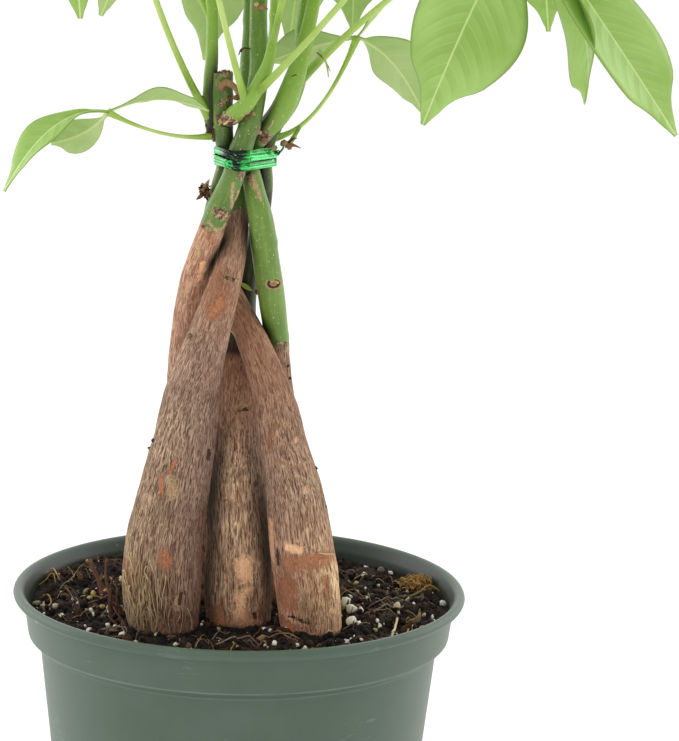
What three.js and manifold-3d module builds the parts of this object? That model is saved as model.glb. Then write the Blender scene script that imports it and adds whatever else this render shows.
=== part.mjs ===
// Potted money tree: five trunks braided and tied above a round nursery pot, with palmate leaves.
// Millimetres, +Z up, origin at the centre of the pot's flat bottom, front of the plant towards -Y.
import * as THREE from 'three';
import { mergeVertices } from 'three/addons/utils/BufferGeometryUtils.js';
import Module from 'manifold-3d';

const wasm = await Module();
wasm.setup();

// Driving dimensions
const seatGap = 0.3;
const potHeight = 146;
const rimRadius = 82.5;
const lipWidth = 4;
const bandHeight = 17;
const stepHeight = 3;
const bandTaper = 1.7;
const lipRounding = 0.9;
const wallTopRadius = 72.6;
const bottomRadius = 59;
const wallThickness = 1.5;
const floorThickness = 2;
const potSides = 36;
const drainHoles = 8;
const drainHoleRadius = 4.5;
const drainCircleRadius = 44;
const soilLevel = 138;
const soilRelief = 1.5;
const moundHeight = 1.6;
const moundCentre = [-42, 34];
const moundSpread = 500;
const trunkSides = 11;
const tieHeight = 6.4;
const tieLevel = 305.4;
const tieTilt = 0.04;
const tieStrands = 3;
const tieThickness = 0.75;
const tieSeat = 0.45;
const tieSides = 24;
const tieTailRadius = 0.55;
const petioleSides = 5;
const petioleSteps = 6;
const bladeThickness = 0.8;
const bladeWidthRatio = 0.43;
const frontBladeStations = [0, 0.1, 0.35, 0.62, 0.86, 1];
const canopyBladeStations = [0, 0.12, 0.42, 0.76, 1];
const stalkShare = 0.07;
const stalkHalfWidth = 0.75;
const usualShoulder = 1.3;
const ovalFullness = 0.95;
const dripTipFrom = 0.82;
const dripTipPinch = 0.3;
const bladeFold = 0.3;
const bladeWave = 1.1;
const bladeRipples = 11;
const usualGirth = 1.05;
const baseSwelling = 1.9;
const hubFlare = 0.85;
const hubReach = 1.4;
const canopySkirt = 377;
const crownFoot = 300;
const stalkRoom = 2;
const stalkSpacing = 4;
const petioleRoom = 1.2;
const bladeRoom = 3.4;
const baseReach = 14;
const ownLeafReach = 26;
const stemReach = 8;
const leafletTries = 30;
const leafletFan = 1.62;
const outerShortening = 0.28;
const usualRise = 0.3;

// Centre lines of the trunks and of the shoots on them: x, y, z and radius at each point
const stemLines = {
  trunk_front_left: [
    [-25, -25, 121, 9.5], [-27.6, -27, 147, 13.5], [-27.5, -27, 166, 14], [-25.1, -26, 182, 13.1],
    [-21.3, -25, 202, 11.7], [-18.3, -25, 220, 10.2], [-14.6, -25.5, 236, 8.2], [-10.2, -25.5, 252, 6.7],
    [-6.4, -22.2, 265, 5.4], [-4.1, -15.2, 278, 4.4], [-3, -9.3, 291, 3.7], [-0.9, -8, 304, 3.3],
    [-1.1, -6.5, 317, 2.8], [-1.4, -3, 337, 2.3], [-0.8, -1, 352, 2.1], [-2, 3, 382, 2.1], [-6, 8, 412, 2],
    [-9, 11, 440, 1.8], [-11, 13, 462, 1.6],
  ],
  trunk_back_left: [
    [-20.3, 12, 118, 10], [-22.2, 13, 140, 12.1], [-22.5, 12, 163, 11.3], [-21.3, 9, 186, 9.8],
    [-20.4, 3, 210, 8.3], [-20.5, -3, 232, 6.7], [-19.8, -7.5, 249, 5.7], [-17.6, -14, 263, 5.1],
    [-13.8, -21, 276, 4.6], [-9.6, -25, 289, 4.2], [-5.5, -24.8, 298.5, 3.9], [-3.7, -22.7, 305.8, 3.8],
    [-1.1, -22.9, 313.5, 3.7], [1.2, -21.4, 322, 3.6], [2.8, -18, 334, 3.3], [2.6, -15, 346, 3.1],
    [2.4, -13, 360, 3], [4, -10, 390, 2.8], [6, -8, 425, 2.5], [7, -7, 458, 2.1], [7, -6, 488, 1.7],
  ],
  trunk_front_right: [
    [27, -27, 121, 9.5], [24.7, -28, 147, 11.2], [21.7, -28, 167, 11.6], [18.4, -27, 187, 10.5],
    [14.2, -25, 204.5, 9], [10.7, -22.3, 220, 7.4], [6, -17.8, 232.6, 6.3], [0.8, -11.4, 243.2, 5.4],
    [-4.6, -6.2, 252.7, 4.7], [-9.3, -4.4, 263, 4.1], [-12.8, -5.8, 274.8, 3.4], [-12, -13, 285.8, 3.1],
    [-9.9, -16.6, 295.2, 2.9], [-7.9, -16.9, 305, 2.8], [-8.9, -17.4, 313.5, 3.4], [-9.5, -17.5, 325, 3.6],
    [-9.6, -17.5, 334.2, 3.6],
  ],
  trunk_back_right: [
    [17.7, 12, 118, 10.4], [16.8, 13, 140, 12], [15.7, 12, 164, 10.9], [14.4, 9, 187, 9], [12.9, 3, 209, 6.4],
    [11.9, -2.6, 227, 4.9], [11, -6.2, 240.5, 4.5], [9, -11, 255.6, 4.8], [6.7, -15.3, 269.5, 4.7],
    [4.9, -18.7, 282.7, 4.4], [2.2, -18, 294, 3.6], [0.2, -15.9, 305, 3.3], [3.6, -16, 312.5, 3.3],
    [10.6, -18.8, 321.4, 4], [15.2, -19, 333, 3.5], [18.5, -18, 345, 2.7], [21.5, -16, 360, 2.3],
    [27, -13, 385, 2.1], [31, -11, 410, 1.9], [33, -10, 434, 1.6],
  ],
  trunk_middle: [
    [0.6, -18, 121, 9.5], [-0.6, -18, 145.4, 11.9], [-1, -16, 167, 11.6], [-2.1, -12, 188.3, 10.9],
    [-2.4, -7, 209, 9], [-2, -1, 228, 7], [-1.3, 3.4, 244, 5.2], [0.2, 3.2, 256.6, 3.9],
    [2.5, -1, 270.7, 3.4], [4.8, -7.8, 283.7, 3.1], [5.7, -10.6, 294.7, 3], [5.5, -10.8, 304.6, 2.8],
    [7.8, -8.9, 314, 2.9], [14, -4.5, 323, 3], [17, -1, 334, 3.2], [18.5, 2, 350, 2.7], [21, 7, 375, 2.3],
    [24, 12, 400, 1.9], [26, 15, 425, 1.6],
  ],
  left_shoot: [
    [-10.4, -16.5, 311, 2.2], [-12.8, -15.8, 316, 2.4], [-13.9, -16, 323, 2.5], [-13.8, -17, 332, 2.4],
    [-13.4, -17, 342, 2.1], [-14, -16, 360, 1.9], [-17, -12, 385, 1.8], [-19, -9, 405, 1.5],
  ],
  front_shoot: [
    [-9.3, -18, 317.5, 2.6], [-7, -23, 319.5, 2.7], [-4.1, -27.2, 322, 2.8], [-0.4, -28.4, 326, 2.8],
    [3.6, -27.5, 333, 2.5], [6.5, -27, 341, 1.9], [7.7, -25.5, 353, 1.5], [7, -24, 370, 1.5],
    [4, -24, 392, 1.4],
  ],
};
const shootsOf = { trunk_front_right: ['left_shoot', 'front_shoot'] };

// Leaves that hang into the front view: a stalk of its own girth, and blades with their bend, tip, facing,
// width and, where it isn't the usual one, how far towards the tip they are broadest
const frontLeaves = [
  { name: 'low_left', stem: 'left_shoot', from: 312.5, girth: 0.85, bend: [-28.5, -26, 310.3],
    hub: [-48.2, -34, 321.6], blades: [
      { bend: [-67, -42, 325], tip: [-82, -48, 295.5], face: [-0.4, -0.47, 0.79], width: 14.5 },
      { bend: [-31, -31, 330.5], tip: [-14, -27.5, 322], face: [0, 0.35, 0.9], width: 15 },
      { bend: [-54, -33, 313], tip: [-67.3, -35, 310.6], face: [0, 0.95, -0.3], width: 12 },
    ] },
  { name: 'low_right', stem: 'trunk_middle', from: 311, girth: 0.7, bend: [24.3, -1, 311.5],
    hub: [37.3, 4, 346], blades: [
      { bend: [52, 5, 341], tip: [62, 6, 319], face: [0.3, 0.8, 0.5], width: 21.5, shoulder: 1 },
      { bend: [22, 12, 343], tip: [5, 16, 335], face: [0, 0.9, 0.4], width: 15 },
      { bend: [45, 8, 355], tip: [55, 16, 366], face: [-0.75, 0.13, 0.66], width: 12 },
    ] },
  { name: 'big_right', stem: 'trunk_middle', from: 329, bend: [48, -24, 368], hub: [89, -55, 393], blades: [
    { bend: [74.5, -76, 374], tip: [56, -82, 325], face: [0.44, -0.89, 0.14], width: 41 },
    { bend: [116, -62, 359.5], tip: [108, -86, 333.6], face: [-0.95, -0.27, -0.17], width: 28 },
    { bend: [110, -70, 366], tip: [139.3, -78, 322.9], face: [0.5, -0.65, 0.57], width: 36 },
    { bend: [98, -32, 386], tip: [102, -24, 351.8], face: [-0.3, -0.9, 0.2], width: 20 },
    { bend: [128, -40, 404], tip: [165, -32, 392], face: [0.1, 0, 1], width: 36 },
    { bend: [104, -20, 408], tip: [120, 14, 398], face: [0, 0.1, 1], width: 32 },
  ] },
  { name: 'upper_left', stem: 'left_shoot', from: 317, bend: [-36, -32, 356], hub: [-46, -45, 412], blades: [
    { bend: [-60, -66, 402], tip: [-56, -62, 355], face: [-0.2, -0.9, 0.4], width: 30 },
    { bend: [-72, -56, 418], tip: [-100, -70, 392], face: [-0.2, 0, 1], width: 36 },
    { bend: [-78, -34, 424], tip: [-112, -24, 398], face: [-0.2, 0, 1], width: 38 },
    { bend: [-52, -78, 418], tip: [-66, -112, 392], face: [-0.1, -0.2, 1], width: 36 },
    { bend: [-60, -18, 420], tip: [-82, 6, 402], face: [-0.1, 0.1, 1], width: 30 },
  ] },
  { name: 'near_left', stem: 'front_shoot', from: 325, bend: [-8, -36, 345], hub: [-20, -60, 400], blades: [
    { bend: [-36, -46, 392], tip: [-50.6, -40, 354.5], face: [-0.3, 0.8, 0.5], width: 28 },
    { bend: [-24, -86, 404], tip: [-34, -122, 384], face: [0, -0.2, 1], width: 34 },
    { bend: [2, -82, 404], tip: [14, -116, 384], face: [0.1, -0.2, 1], width: 34 },
  ] },
  { name: 'near_right', stem: 'front_shoot', from: 326.5, bend: [24, -38, 350], hub: [74, -66, 420], blades: [
    { bend: [96, -82, 428], tip: [126, -108, 404], face: [0.1, -0.1, 1], width: 40 },
    { bend: [76, -92, 426], tip: [80, -136, 400], face: [0, -0.2, 1], width: 40 },
    { bend: [106, -60, 430], tip: [150, -62, 412], face: [0.1, 0, 1], width: 40 },
    { bend: [48, -84, 424], tip: [30, -116, 404], face: [-0.1, -0.1, 1], width: 32 },
    { bend: [96, -42, 430], tip: [124, -12, 420], face: [0.1, 0.1, 1], width: 34 },
  ] },
  { name: 'back_left', stem: 'trunk_front_left', from: 358, bend: [-6, 28, 384],
    hub: [-18, 62, 402], blades: [
      { bend: [-10, 66, 380], tip: [-17, 46, 333], face: [0, 0.9, 0.3], width: 28 },
      { bend: [-40, 84, 408], tip: [-72, 104, 388], face: [0, 0, 1], width: 38 },
      { bend: [-16, 92, 408], tip: [-24, 138, 386], face: [0, 0.1, 1], width: 38 },
      { bend: [-50, 62, 406], tip: [-88, 58, 386], face: [0, 0, 1], width: 34 },
    ] },
  { name: 'back_right', stem: 'trunk_middle', from: 352, bend: [28, 34, 382], hub: [34, 60, 404], blades: [
    { bend: [38, 60, 386], tip: [37, 42, 346], face: [0, 0.9, 0.3], width: 30 },
    { bend: [18, 66, 384], tip: [14, 52, 338], face: [0.1, 0.9, 0.3], width: 26 },
    { bend: [62, 82, 410], tip: [96, 100, 388], face: [0, 0, 1], width: 38 },
    { bend: [34, 96, 410], tip: [32, 142, 386], face: [0, 0.1, 1], width: 38 },
    { bend: [72, 58, 410], tip: [110, 50, 392], face: [0.1, 0, 1], width: 34 },
  ] },
];

// Leaves of the canopy: stem, height on it, hub x, y, z, leaflets and leaflet length
const canopyLeaves = [
  ['left_shoot', 352, -60, 12, 424, 5, 84],
  ['front_shoot', 344, 30, -64, 440, 6, 92],
  ['left_shoot', 380, -44, -34, 452, 6, 90],
  ['trunk_middle', 376, 72, 26, 430, 6, 90],
  ['trunk_front_left', 396, -52, 46, 440, 6, 92],
  ['front_shoot', 380, -14, -70, 452, 6, 90],
  ['trunk_back_right', 392, 74, -28, 458, 6, 92],
  ['trunk_middle', 408, 44, 62, 458, 6, 90],
  ['trunk_back_right', 420, 52, -46, 484, 6, 84],
  ['trunk_front_left', 446, -54, 10, 478, 6, 86],
  ['trunk_back_left', 456, 50, 22, 496, 6, 84],
  ['trunk_back_left', 468, 4, -40, 516, 6, 78],
  ['trunk_front_left', 452, -22, 44, 506, 6, 80],
  ['trunk_back_left', 482, 12, 6, 528, 6, 74],
];

const colours = {
  pot: 0x5f7364, soil: 0x3a2a20, trunk: 0x8a6a55, tie: 0x17a04a, leaf: 0x8cc152,
};

// Seeded random numbers from 0 to 1
function seededRandom(seed) {
  let state = seed >>> 0;
  return () => {
    state = (state + 0x6d2b79f5) >>> 0;
    let mixed = Math.imul(state ^ (state >>> 15), 1 | state);
    mixed = (mixed + Math.imul(mixed ^ (mixed >>> 7), 61 | mixed)) ^ mixed;
    return ((mixed ^ (mixed >>> 14)) >>> 0) / 4294967296;
  };
}

const vector = (list) => new THREE.Vector3(...list);

function toSolid(geometry) {
  geometry.deleteAttribute('normal');
  geometry.deleteAttribute('uv');
  const merged = mergeVertices(geometry, 1e-4);
  return new wasm.Manifold(new wasm.Mesh({
    numProp: 3,
    vertProperties: new Float32Array(merged.attributes.position.array),
    triVerts: new Uint32Array(merged.index.array),
  }));
}

function toGeometry(solid) {
  const mesh = solid.getMesh();
  const geometry = new THREE.BufferGeometry();
  geometry.setAttribute('position', new THREE.BufferAttribute(new Float32Array(mesh.vertProperties), 3));
  geometry.setIndex(new THREE.BufferAttribute(new Uint32Array(mesh.triVerts), 1));
  geometry.computeVertexNormals();
  return geometry;
}

function geometryFrom(points, triangles) {
  const geometry = new THREE.BufferGeometry();
  geometry.setAttribute('position', new THREE.Float32BufferAttribute(points.flatMap((p) => p.toArray()), 3));
  geometry.setIndex(triangles);
  return geometry;
}

// Skin through rings of equal length, closed by a fan at each end
function loft(rings) {
  const count = rings[0].length;
  const points = rings.flat();
  const triangles = [];
  for (let i = 0; i + 1 < rings.length; i += 1) {
    for (let j = 0; j < count; j += 1) {
      const a = i * count + j;
      const b = i * count + ((j + 1) % count);
      triangles.push(a, b, b + count, a, b + count, a + count);
    }
  }
  for (const end of [0, rings.length - 1]) {
    const middle = points.length;
    const centre = new THREE.Vector3();
    rings[end].forEach((p) => centre.addScaledVector(p, 1 / count));
    points.push(centre);
    for (let j = 0; j < count; j += 1) {
      const a = end * count + j;
      const b = end * count + ((j + 1) % count);
      triangles.push(middle, ...(end === 0 ? [b, a] : [a, b]));
    }
  }
  return geometryFrom(points, triangles);
}

// Point and radius on a stem, at a share of its rows from 0 to 1
function stemCurve(name) {
  const rows = stemLines[name];
  const through = (points) => new THREE.CatmullRomCurve3(points, false, 'catmullrom', 0.5);
  const path = through(rows.map(([x, y, z]) => new THREE.Vector3(x, y, z)));
  const girth = through(rows.map((row) => new THREE.Vector3(row[3], 0, 0)));
  return {
    rows,
    point: (share) => path.getPoint(share),
    radius: (share) => girth.getPoint(share).x,
  };
}

// Share of a stem's rows where it passes a height
function shareAt(curve, height) {
  let low = 0;
  let high = 1;
  for (let i = 0; i < 40; i += 1) {
    const middle = (low + high) / 2;
    if (curve.point(middle).z < height) low = middle;
    else high = middle;
  }
  return (low + high) / 2;
}

// Uneven swelling round a trunk, gentler where the stem is thin
function swelling(angle, height, radius) {
  const strength = Math.min(1, Math.max(0, (radius - 4) / 6));
  const flats = 0.026 * Math.sin(2 * angle + height * 0.021);
  const ridges = 0.018 * Math.sin(3 * angle - height * 0.034 + 1.3);
  return radius * (1 + strength * (flats + ridges));
}

function stemSolid(name, extra) {
  const curve = stemCurve(name);
  const steps = curve.rows.length - 1;
  const rings = [];
  for (let i = 0; i <= steps; i += 1) {
    const share = i / steps;
    const centre = curve.point(share);
    const before = curve.point(Math.max(0, share - 0.002));
    const tangent = curve.point(Math.min(1, share + 0.002)).sub(before).normalize();
    if (i === 0) centre.addScaledVector(tangent, -extra);
    if (i === steps) centre.addScaledVector(tangent, extra);
    const across = new THREE.Vector3(1, 0, 0).addScaledVector(tangent, -tangent.x).normalize();
    const along = new THREE.Vector3().crossVectors(tangent, across);
    const ring = [];
    for (let j = 0; j < trunkSides; j += 1) {
      const angle = (j / trunkSides) * 2 * Math.PI;
      const radius = swelling(angle, centre.z, curve.radius(share)) + extra;
      ring.push(centre.clone().addScaledVector(across, radius * Math.cos(angle))
        .addScaledVector(along, radius * Math.sin(angle)));
    }
    rings.push(ring);
  }
  return toSolid(loft(rings));
}

// A trunk with the shoots that grow on it, or the same body grown by extra all round
function trunkSolid(name, extra) {
  const shoots = shootsOf[name] || [];
  return shoots.reduce((body, shoot) => body.add(stemSolid(shoot, extra)), stemSolid(name, extra));
}

const bandFootZ = potHeight - bandHeight;
const wallTopZ = bandFootZ - stepHeight;
const bandTopRadius = rimRadius - lipWidth;
const bandFootRadius = bandTopRadius - bandTaper;

// Half section of the pot: floor, tapering wall, step, band and rolled lip
function potSection() {
  const inner = wallThickness;
  return [
    [0, 0], [bottomRadius - 2, 0], [bottomRadius, 1.5], [wallTopRadius, wallTopZ],
    [bandFootRadius, bandFootZ], [bandTopRadius, potHeight - 4.4], [rimRadius - lipRounding, potHeight - 3.8],
    [rimRadius, potHeight - 2], [rimRadius - lipRounding, potHeight - 0.3], [rimRadius - 2.4, potHeight],
    [bandTopRadius, potHeight - 1.4], [bandTopRadius - inner, potHeight - 5],
    [bandFootRadius - inner, bandFootZ + 1], [wallTopRadius - inner, wallTopZ + 1],
    [bottomRadius - inner + 0.1, 3.6], [bottomRadius - 5, floorThickness], [0, floorThickness],
  ];
}

function potSolid() {
  const profile = potSection().map(([r, z]) => new THREE.Vector2(r, z));
  const body = new THREE.LatheGeometry(profile, potSides);
  body.rotateX(Math.PI / 2);
  let solid = toSolid(body);
  for (let i = 0; i < drainHoles; i += 1) {
    const angle = ((i + 0.5) / drainHoles) * 2 * Math.PI;
    const drill = new THREE.CylinderGeometry(drainHoleRadius, drainHoleRadius, 6, 6);
    drill.rotateX(Math.PI / 2);
    drill.translate(drainCircleRadius * Math.cos(angle), drainCircleRadius * Math.sin(angle), 1);
    solid = solid.subtract(toSolid(drill));
  }
  return solid;
}

// Height of the soil's clods above its level
function soilHeight(x, y) {
  const broad = Math.sin(x * 0.11 + 0.6) * Math.cos(y * 0.13 - 0.4);
  const fine = 0.5 * Math.sin(x * 0.23 - y * 0.19 + 2.1);
  const fromMound = (x - moundCentre[0]) ** 2 + (y - moundCentre[1]) ** 2;
  return soilLevel + soilRelief * (broad + fine) * 0.6 + moundHeight * Math.exp(-fromMound / moundSpread);
}

function soilSolid(trunks) {
  const section = potSection();
  const innerWall = section.slice(12, 16).reverse();
  const wall = innerWall.map(([r, z]) => [r - seatGap, z + (z < 5 ? seatGap : 0)]);
  const edgeRadius = bandTopRadius - wallThickness - seatGap - 0.5;
  const rings = [];
  const ringAt = (radius, height) => {
    const ring = [];
    for (let j = 0; j < potSides; j += 1) {
      const angle = (j / potSides) * 2 * Math.PI + Math.PI / 2;
      const x = radius * Math.cos(angle);
      const y = radius * Math.sin(angle);
      ring.push(new THREE.Vector3(x, y, height === null ? soilHeight(x, y) : height));
    }
    rings.push(ring);
  };
  wall.forEach(([r, z]) => ringAt(r, z));
  for (const share of [1, 0.88, 0.72, 0.54, 0.36, 0.16]) ringAt(edgeRadius * share, null);
  return trunks.reduce((body, trunk) => body.subtract(trunk), toSolid(loft(rings)));
}

// Outline of the bundle of stems at the tie, a given distance off them
function bundleOutline(angle, off) {
  const direction = new THREE.Vector3(Math.cos(angle), Math.sin(angle), 0);
  let reach = -Infinity;
  let furthest = null;
  for (const name of Object.keys(stemLines)) {
    if (name.startsWith('trunk')) {
      const curve = stemCurve(name);
      for (const height of [tieLevel - tieHeight / 2, tieLevel, tieLevel + tieHeight / 2]) {
        const share = shareAt(curve, height);
        const centre = curve.point(share);
        const radius = curve.radius(share);
        if (centre.dot(direction) + radius > reach) {
          reach = centre.dot(direction) + radius;
          furthest = centre.clone().addScaledVector(direction, radius + off);
        }
      }
    }
  }
  return furthest;
}

// Foil tie wound tight round the stems, its turns side by side, with the twisted ends at the right
function tieSolid() {
  const offsets = [];
  const half = tieHeight / 2;
  offsets.push([tieSeat, -half], [tieSeat, half]);
  for (let i = tieStrands - 1; i >= 0; i -= 1) {
    const low = -half + (i * tieHeight) / tieStrands;
    const high = low + tieHeight / tieStrands;
    offsets.push([tieSeat + tieThickness * 0.55, high - 0.15]);
    offsets.push([tieSeat + tieThickness, (low + high) / 2]);
    offsets.push([tieSeat + tieThickness * 0.55, low + 0.15]);
  }
  const points = [];
  const triangles = [];
  const count = offsets.length;
  for (let i = 0; i < tieSides; i += 1) {
    const angle = (i / tieSides) * 2 * Math.PI;
    for (const [off, rise] of offsets) {
      const p = bundleOutline(angle, off);
      p.z = tieLevel + rise - tieTilt * p.x;
      points.push(p);
    }
  }
  for (let i = 0; i < tieSides; i += 1) {
    for (let j = 0; j < count; j += 1) {
      const a = i * count + j;
      const b = i * count + ((j + 1) % count);
      const c = ((i + 1) % tieSides) * count + ((j + 1) % count);
      const d = ((i + 1) % tieSides) * count + j;
      triangles.push(a, b, c, a, c, d);
    }
  }
  const start = bundleOutline(0, tieSeat + tieThickness * 0.5).setZ(tieLevel);
  const tailSteps = [[0, 0, 0.6], [1.8, -0.4, 1.6], [2.6, -1, 3], [2.2, -1.6, 4.6]];
  const tail = new THREE.CatmullRomCurve3(tailSteps.map((step) => start.clone().add(vector(step))));
  const section = new THREE.Shape();
  section.absarc(0, 0, tieTailRadius, 0, 2 * Math.PI);
  const ends = new THREE.ExtrudeGeometry(section, { steps: 5, curveSegments: 6, extrudePath: tail });
  return toSolid(geometryFrom(points, triangles)).add(toSolid(ends));
}

const bezier = (a, b, c, t) => a.clone().multiplyScalar((1 - t) * (1 - t))
  .addScaledVector(b, 2 * t * (1 - t)).addScaledVector(c, t * t);
const bezierTangent = (a, b, c, t) => b.clone().sub(a).multiplyScalar(1 - t)
  .addScaledVector(c.clone().sub(b), t).normalize();

// Half width of a leaflet along its length: a thin stalk, a wedge base, a broad middle and a drip tip
function bladeHalfWidth(share, blade) {
  if (share <= stalkShare) return stalkHalfWidth;
  const along = (share - stalkShare) / (1 - stalkShare);
  const oval = Math.pow(Math.max(0, Math.sin(Math.PI * Math.pow(along, blade.shoulder))), ovalFullness);
  const tipShare = (along - dripTipFrom) / (1 - dripTipFrom);
  const tip = tipShare > 0 ? 1 - dripTipPinch * Math.sin(Math.PI * tipShare) : 1;
  return Math.max(stalkHalfWidth, (blade.width / 2) * oval * tip);
}

// Point of a leaflet's middle surface with its normal: along runs from hub to tip, side from -1 to 1
function bladePoint(hub, blade, along, side) {
  const centre = bezier(hub, blade.bend, blade.tip, along);
  const tangent = bezierTangent(hub, blade.bend, blade.tip, along);
  const across = new THREE.Vector3().crossVectors(blade.tip.clone().sub(hub), blade.face);
  across.addScaledVector(tangent, -across.dot(tangent)).normalize();
  const normal = new THREE.Vector3().crossVectors(across, tangent);
  const half = bladeHalfWidth(along, blade);
  const fold = bladeFold * (1 - along * 0.5);
  const ripple = Math.sin(along * bladeRipples + blade.phase + side);
  const wave = bladeWave * ripple * side * side * Math.min(1, half / 8);
  const point = centre.addScaledVector(across, side * half * Math.cos(fold))
    .addScaledVector(normal, Math.abs(side) * half * Math.sin(fold) + wave);
  return { point, normal };
}

function bladeSolid(hub, blade, stations) {
  const columns = [-1, 0, 1];
  const points = [];
  const triangles = [];
  const index = (i, j, under) => (i * columns.length + j) * 2 + under;
  const quad = (a, b, c, d) => triangles.push(a, b, c, a, c, d);
  for (const along of stations) {
    for (const side of columns) {
      const { point, normal } = bladePoint(hub, blade, along, side);
      points.push(point.clone().addScaledVector(normal, bladeThickness / 2));
      points.push(point.clone().addScaledVector(normal, -bladeThickness / 2));
    }
  }
  const last = columns.length - 1;
  const end = stations.length - 1;
  for (let i = 0; i < end; i += 1) {
    for (let j = 0; j < last; j += 1) {
      quad(index(i, j, 0), index(i, j + 1, 0), index(i + 1, j + 1, 0), index(i + 1, j, 0));
      quad(index(i, j, 1), index(i + 1, j, 1), index(i + 1, j + 1, 1), index(i, j + 1, 1));
    }
    quad(index(i, 0, 0), index(i + 1, 0, 0), index(i + 1, 0, 1), index(i, 0, 1));
    quad(index(i, last, 0), index(i, last, 1), index(i + 1, last, 1), index(i + 1, last, 0));
  }
  for (let j = 0; j < last; j += 1) {
    quad(index(0, j, 0), index(0, j, 1), index(0, j + 1, 1), index(0, j + 1, 0));
    quad(index(end, j, 0), index(end, j + 1, 0), index(end, j + 1, 1), index(end, j, 1));
  }
  return toSolid(geometryFrom(points, triangles));
}

// Leaf stalk: swollen where it leaves the stem and where the leaflets spread
function petioleRadius(along, leaf) {
  return leaf.girth + (leaf.swollen - leaf.girth) * Math.pow(1 - along, 6) + hubFlare * Math.pow(along, 10);
}

function petioleSolid(leaf) {
  const side = leaf.bend.clone().sub(leaf.base).cross(leaf.hub.clone().sub(leaf.bend));
  if (side.length() < 1e-3) side.set(-(leaf.hub.y - leaf.base.y), leaf.hub.x - leaf.base.x, 0);
  side.normalize();
  const rings = [];
  for (let i = 0; i <= petioleSteps; i += 1) {
    const along = i / petioleSteps;
    const centre = bezier(leaf.base, leaf.bend, leaf.hub, along);
    const tangent = bezierTangent(leaf.base, leaf.bend, leaf.hub, along);
    if (i === petioleSteps) centre.addScaledVector(tangent, hubReach);
    const lift = new THREE.Vector3().crossVectors(tangent, side);
    const radius = petioleRadius(along, leaf);
    const ring = [];
    for (let j = 0; j < petioleSides; j += 1) {
      const angle = (j / petioleSides) * 2 * Math.PI;
      ring.push(centre.clone().addScaledVector(side, radius * Math.cos(angle))
        .addScaledVector(lift, radius * Math.sin(angle)));
    }
    rings.push(ring);
  }
  return toSolid(loft(rings));
}

// Places taken so far: points with a radius, each marked with the stem or leaf that it belongs to
const taken = [];

function isClear(points, margin, ignore) {
  for (const p of points) {
    for (const q of taken) {
      const reach = margin + q.radius;
      const dx = p.x - q.x;
      const dy = p.y - q.y;
      const dz = p.z - q.z;
      if (dx * dx + dy * dy + dz * dz < reach * reach && !ignore(p, q)) return false;
    }
  }
  return true;
}

function takeStems() {
  for (const name of Object.keys(stemLines)) {
    const curve = stemCurve(name);
    const count = curve.rows.length * 5;
    for (let i = 0; i <= count; i += 1) {
      const p = curve.point(i / count);
      const radius = curve.radius(i / count);
      if (p.z > crownFoot) taken.push({ x: p.x, y: p.y, z: p.z, radius, owner: name, kind: 'stem' });
    }
  }
}

// Points along a petiole that keep clear of other stems and stalks
function petiolePoints(leaf) {
  const length = leaf.base.distanceTo(leaf.hub);
  const count = Math.ceil(length / stalkSpacing);
  const points = [];
  for (let i = 1; i <= count; i += 1) {
    const p = bezier(leaf.base, leaf.bend, leaf.hub, i / count);
    points.push({
      x: p.x, y: p.y, z: p.z, radius: petioleRoom, owner: leaf.name, kind: 'petiole',
      fromBase: p.distanceTo(leaf.base),
    });
  }
  return points;
}

function bendPetioleClear(leaf) {
  const outward = leaf.hub.clone().sub(leaf.base);
  const sideways = new THREE.Vector3(-outward.y, outward.x, 0).normalize();
  const first = leaf.bend.clone();
  const ignore = (p, q) => q.owner === leaf.stem || (p.fromBase < baseReach && q.kind === 'petiole');
  for (const shift of [0, 7, -7, 14, -14, 21, -21, 28, -28]) {
    leaf.bend = first.clone().addScaledVector(sideways, shift);
    const points = petiolePoints(leaf);
    if (isClear(points, stalkRoom, ignore)) return points;
  }
  leaf.bend = first;
  return petiolePoints(leaf);
}

function bladePoints(leaf, blade) {
  const points = [];
  for (let i = 1; i <= 13; i += 1) {
    for (let j = -3; j <= 3; j += 1) {
      const { point } = bladePoint(leaf.hub, blade, i / 13, j / 3);
      points.push({
        x: point.x, y: point.y, z: point.z, radius: bladeRoom, owner: leaf.name, kind: 'blade',
        fromHub: point.distanceTo(leaf.hub),
      });
    }
  }
  return points;
}

// One leaflet of a canopy leaf, tried at other turns, slopes and lengths until it is clear of the rest
function growBlade(leaf, place, random) {
  const ignore = (p, q) => (q.owner === leaf.name && p.fromHub < ownLeafReach)
    || (q.kind !== 'blade' && p.fromHub < stemReach);
  const middle = (leaf.count - 1) / 2;
  const outer = Math.abs(place - middle) / middle;
  const fan = (leafletFan * Math.PI) / leaf.count;
  for (let attempt = 0; attempt < leafletTries; attempt += 1) {
    const wander = (random() - 0.5) * (0.2 + attempt * 0.02);
    const turn = leaf.azimuth + (place - middle) * fan + wander;
    const usualLength = leaf.length * (1 - outerShortening * outer * outer) * (0.94 + 0.12 * random());
    const length = usualLength * (1 - attempt * 0.013);
    const lift = usualRise + (random() - 0.5) * 0.5;
    const droop = -usualRise + (random() - 0.5) * 0.75;
    const outward = new THREE.Vector3(Math.cos(turn), Math.sin(turn), 0);
    const reach = (slope, share) => leaf.hub.clone()
      .addScaledVector(outward, length * share * Math.cos(slope))
      .add(new THREE.Vector3(0, 0, length * share * Math.sin(slope)));
    const face = new THREE.Vector3(0, 0, 1).addScaledVector(outward, 0.15);
    face.addScaledVector(new THREE.Vector3(-outward.y, outward.x, 0), (random() - 0.5) * 0.7);
    const blade = {
      bend: reach(lift, 0.5), tip: reach(droop, 1), face, width: length * bladeWidthRatio,
      shoulder: usualShoulder, phase: random() * 6,
    };
    const points = bladePoints(leaf, blade);
    if (Math.min(...points.map((p) => p.z)) > canopySkirt && isClear(points, bladeRoom, ignore)) {
      taken.push(...points);
      return blade;
    }
  }
  return null;
}

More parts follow.
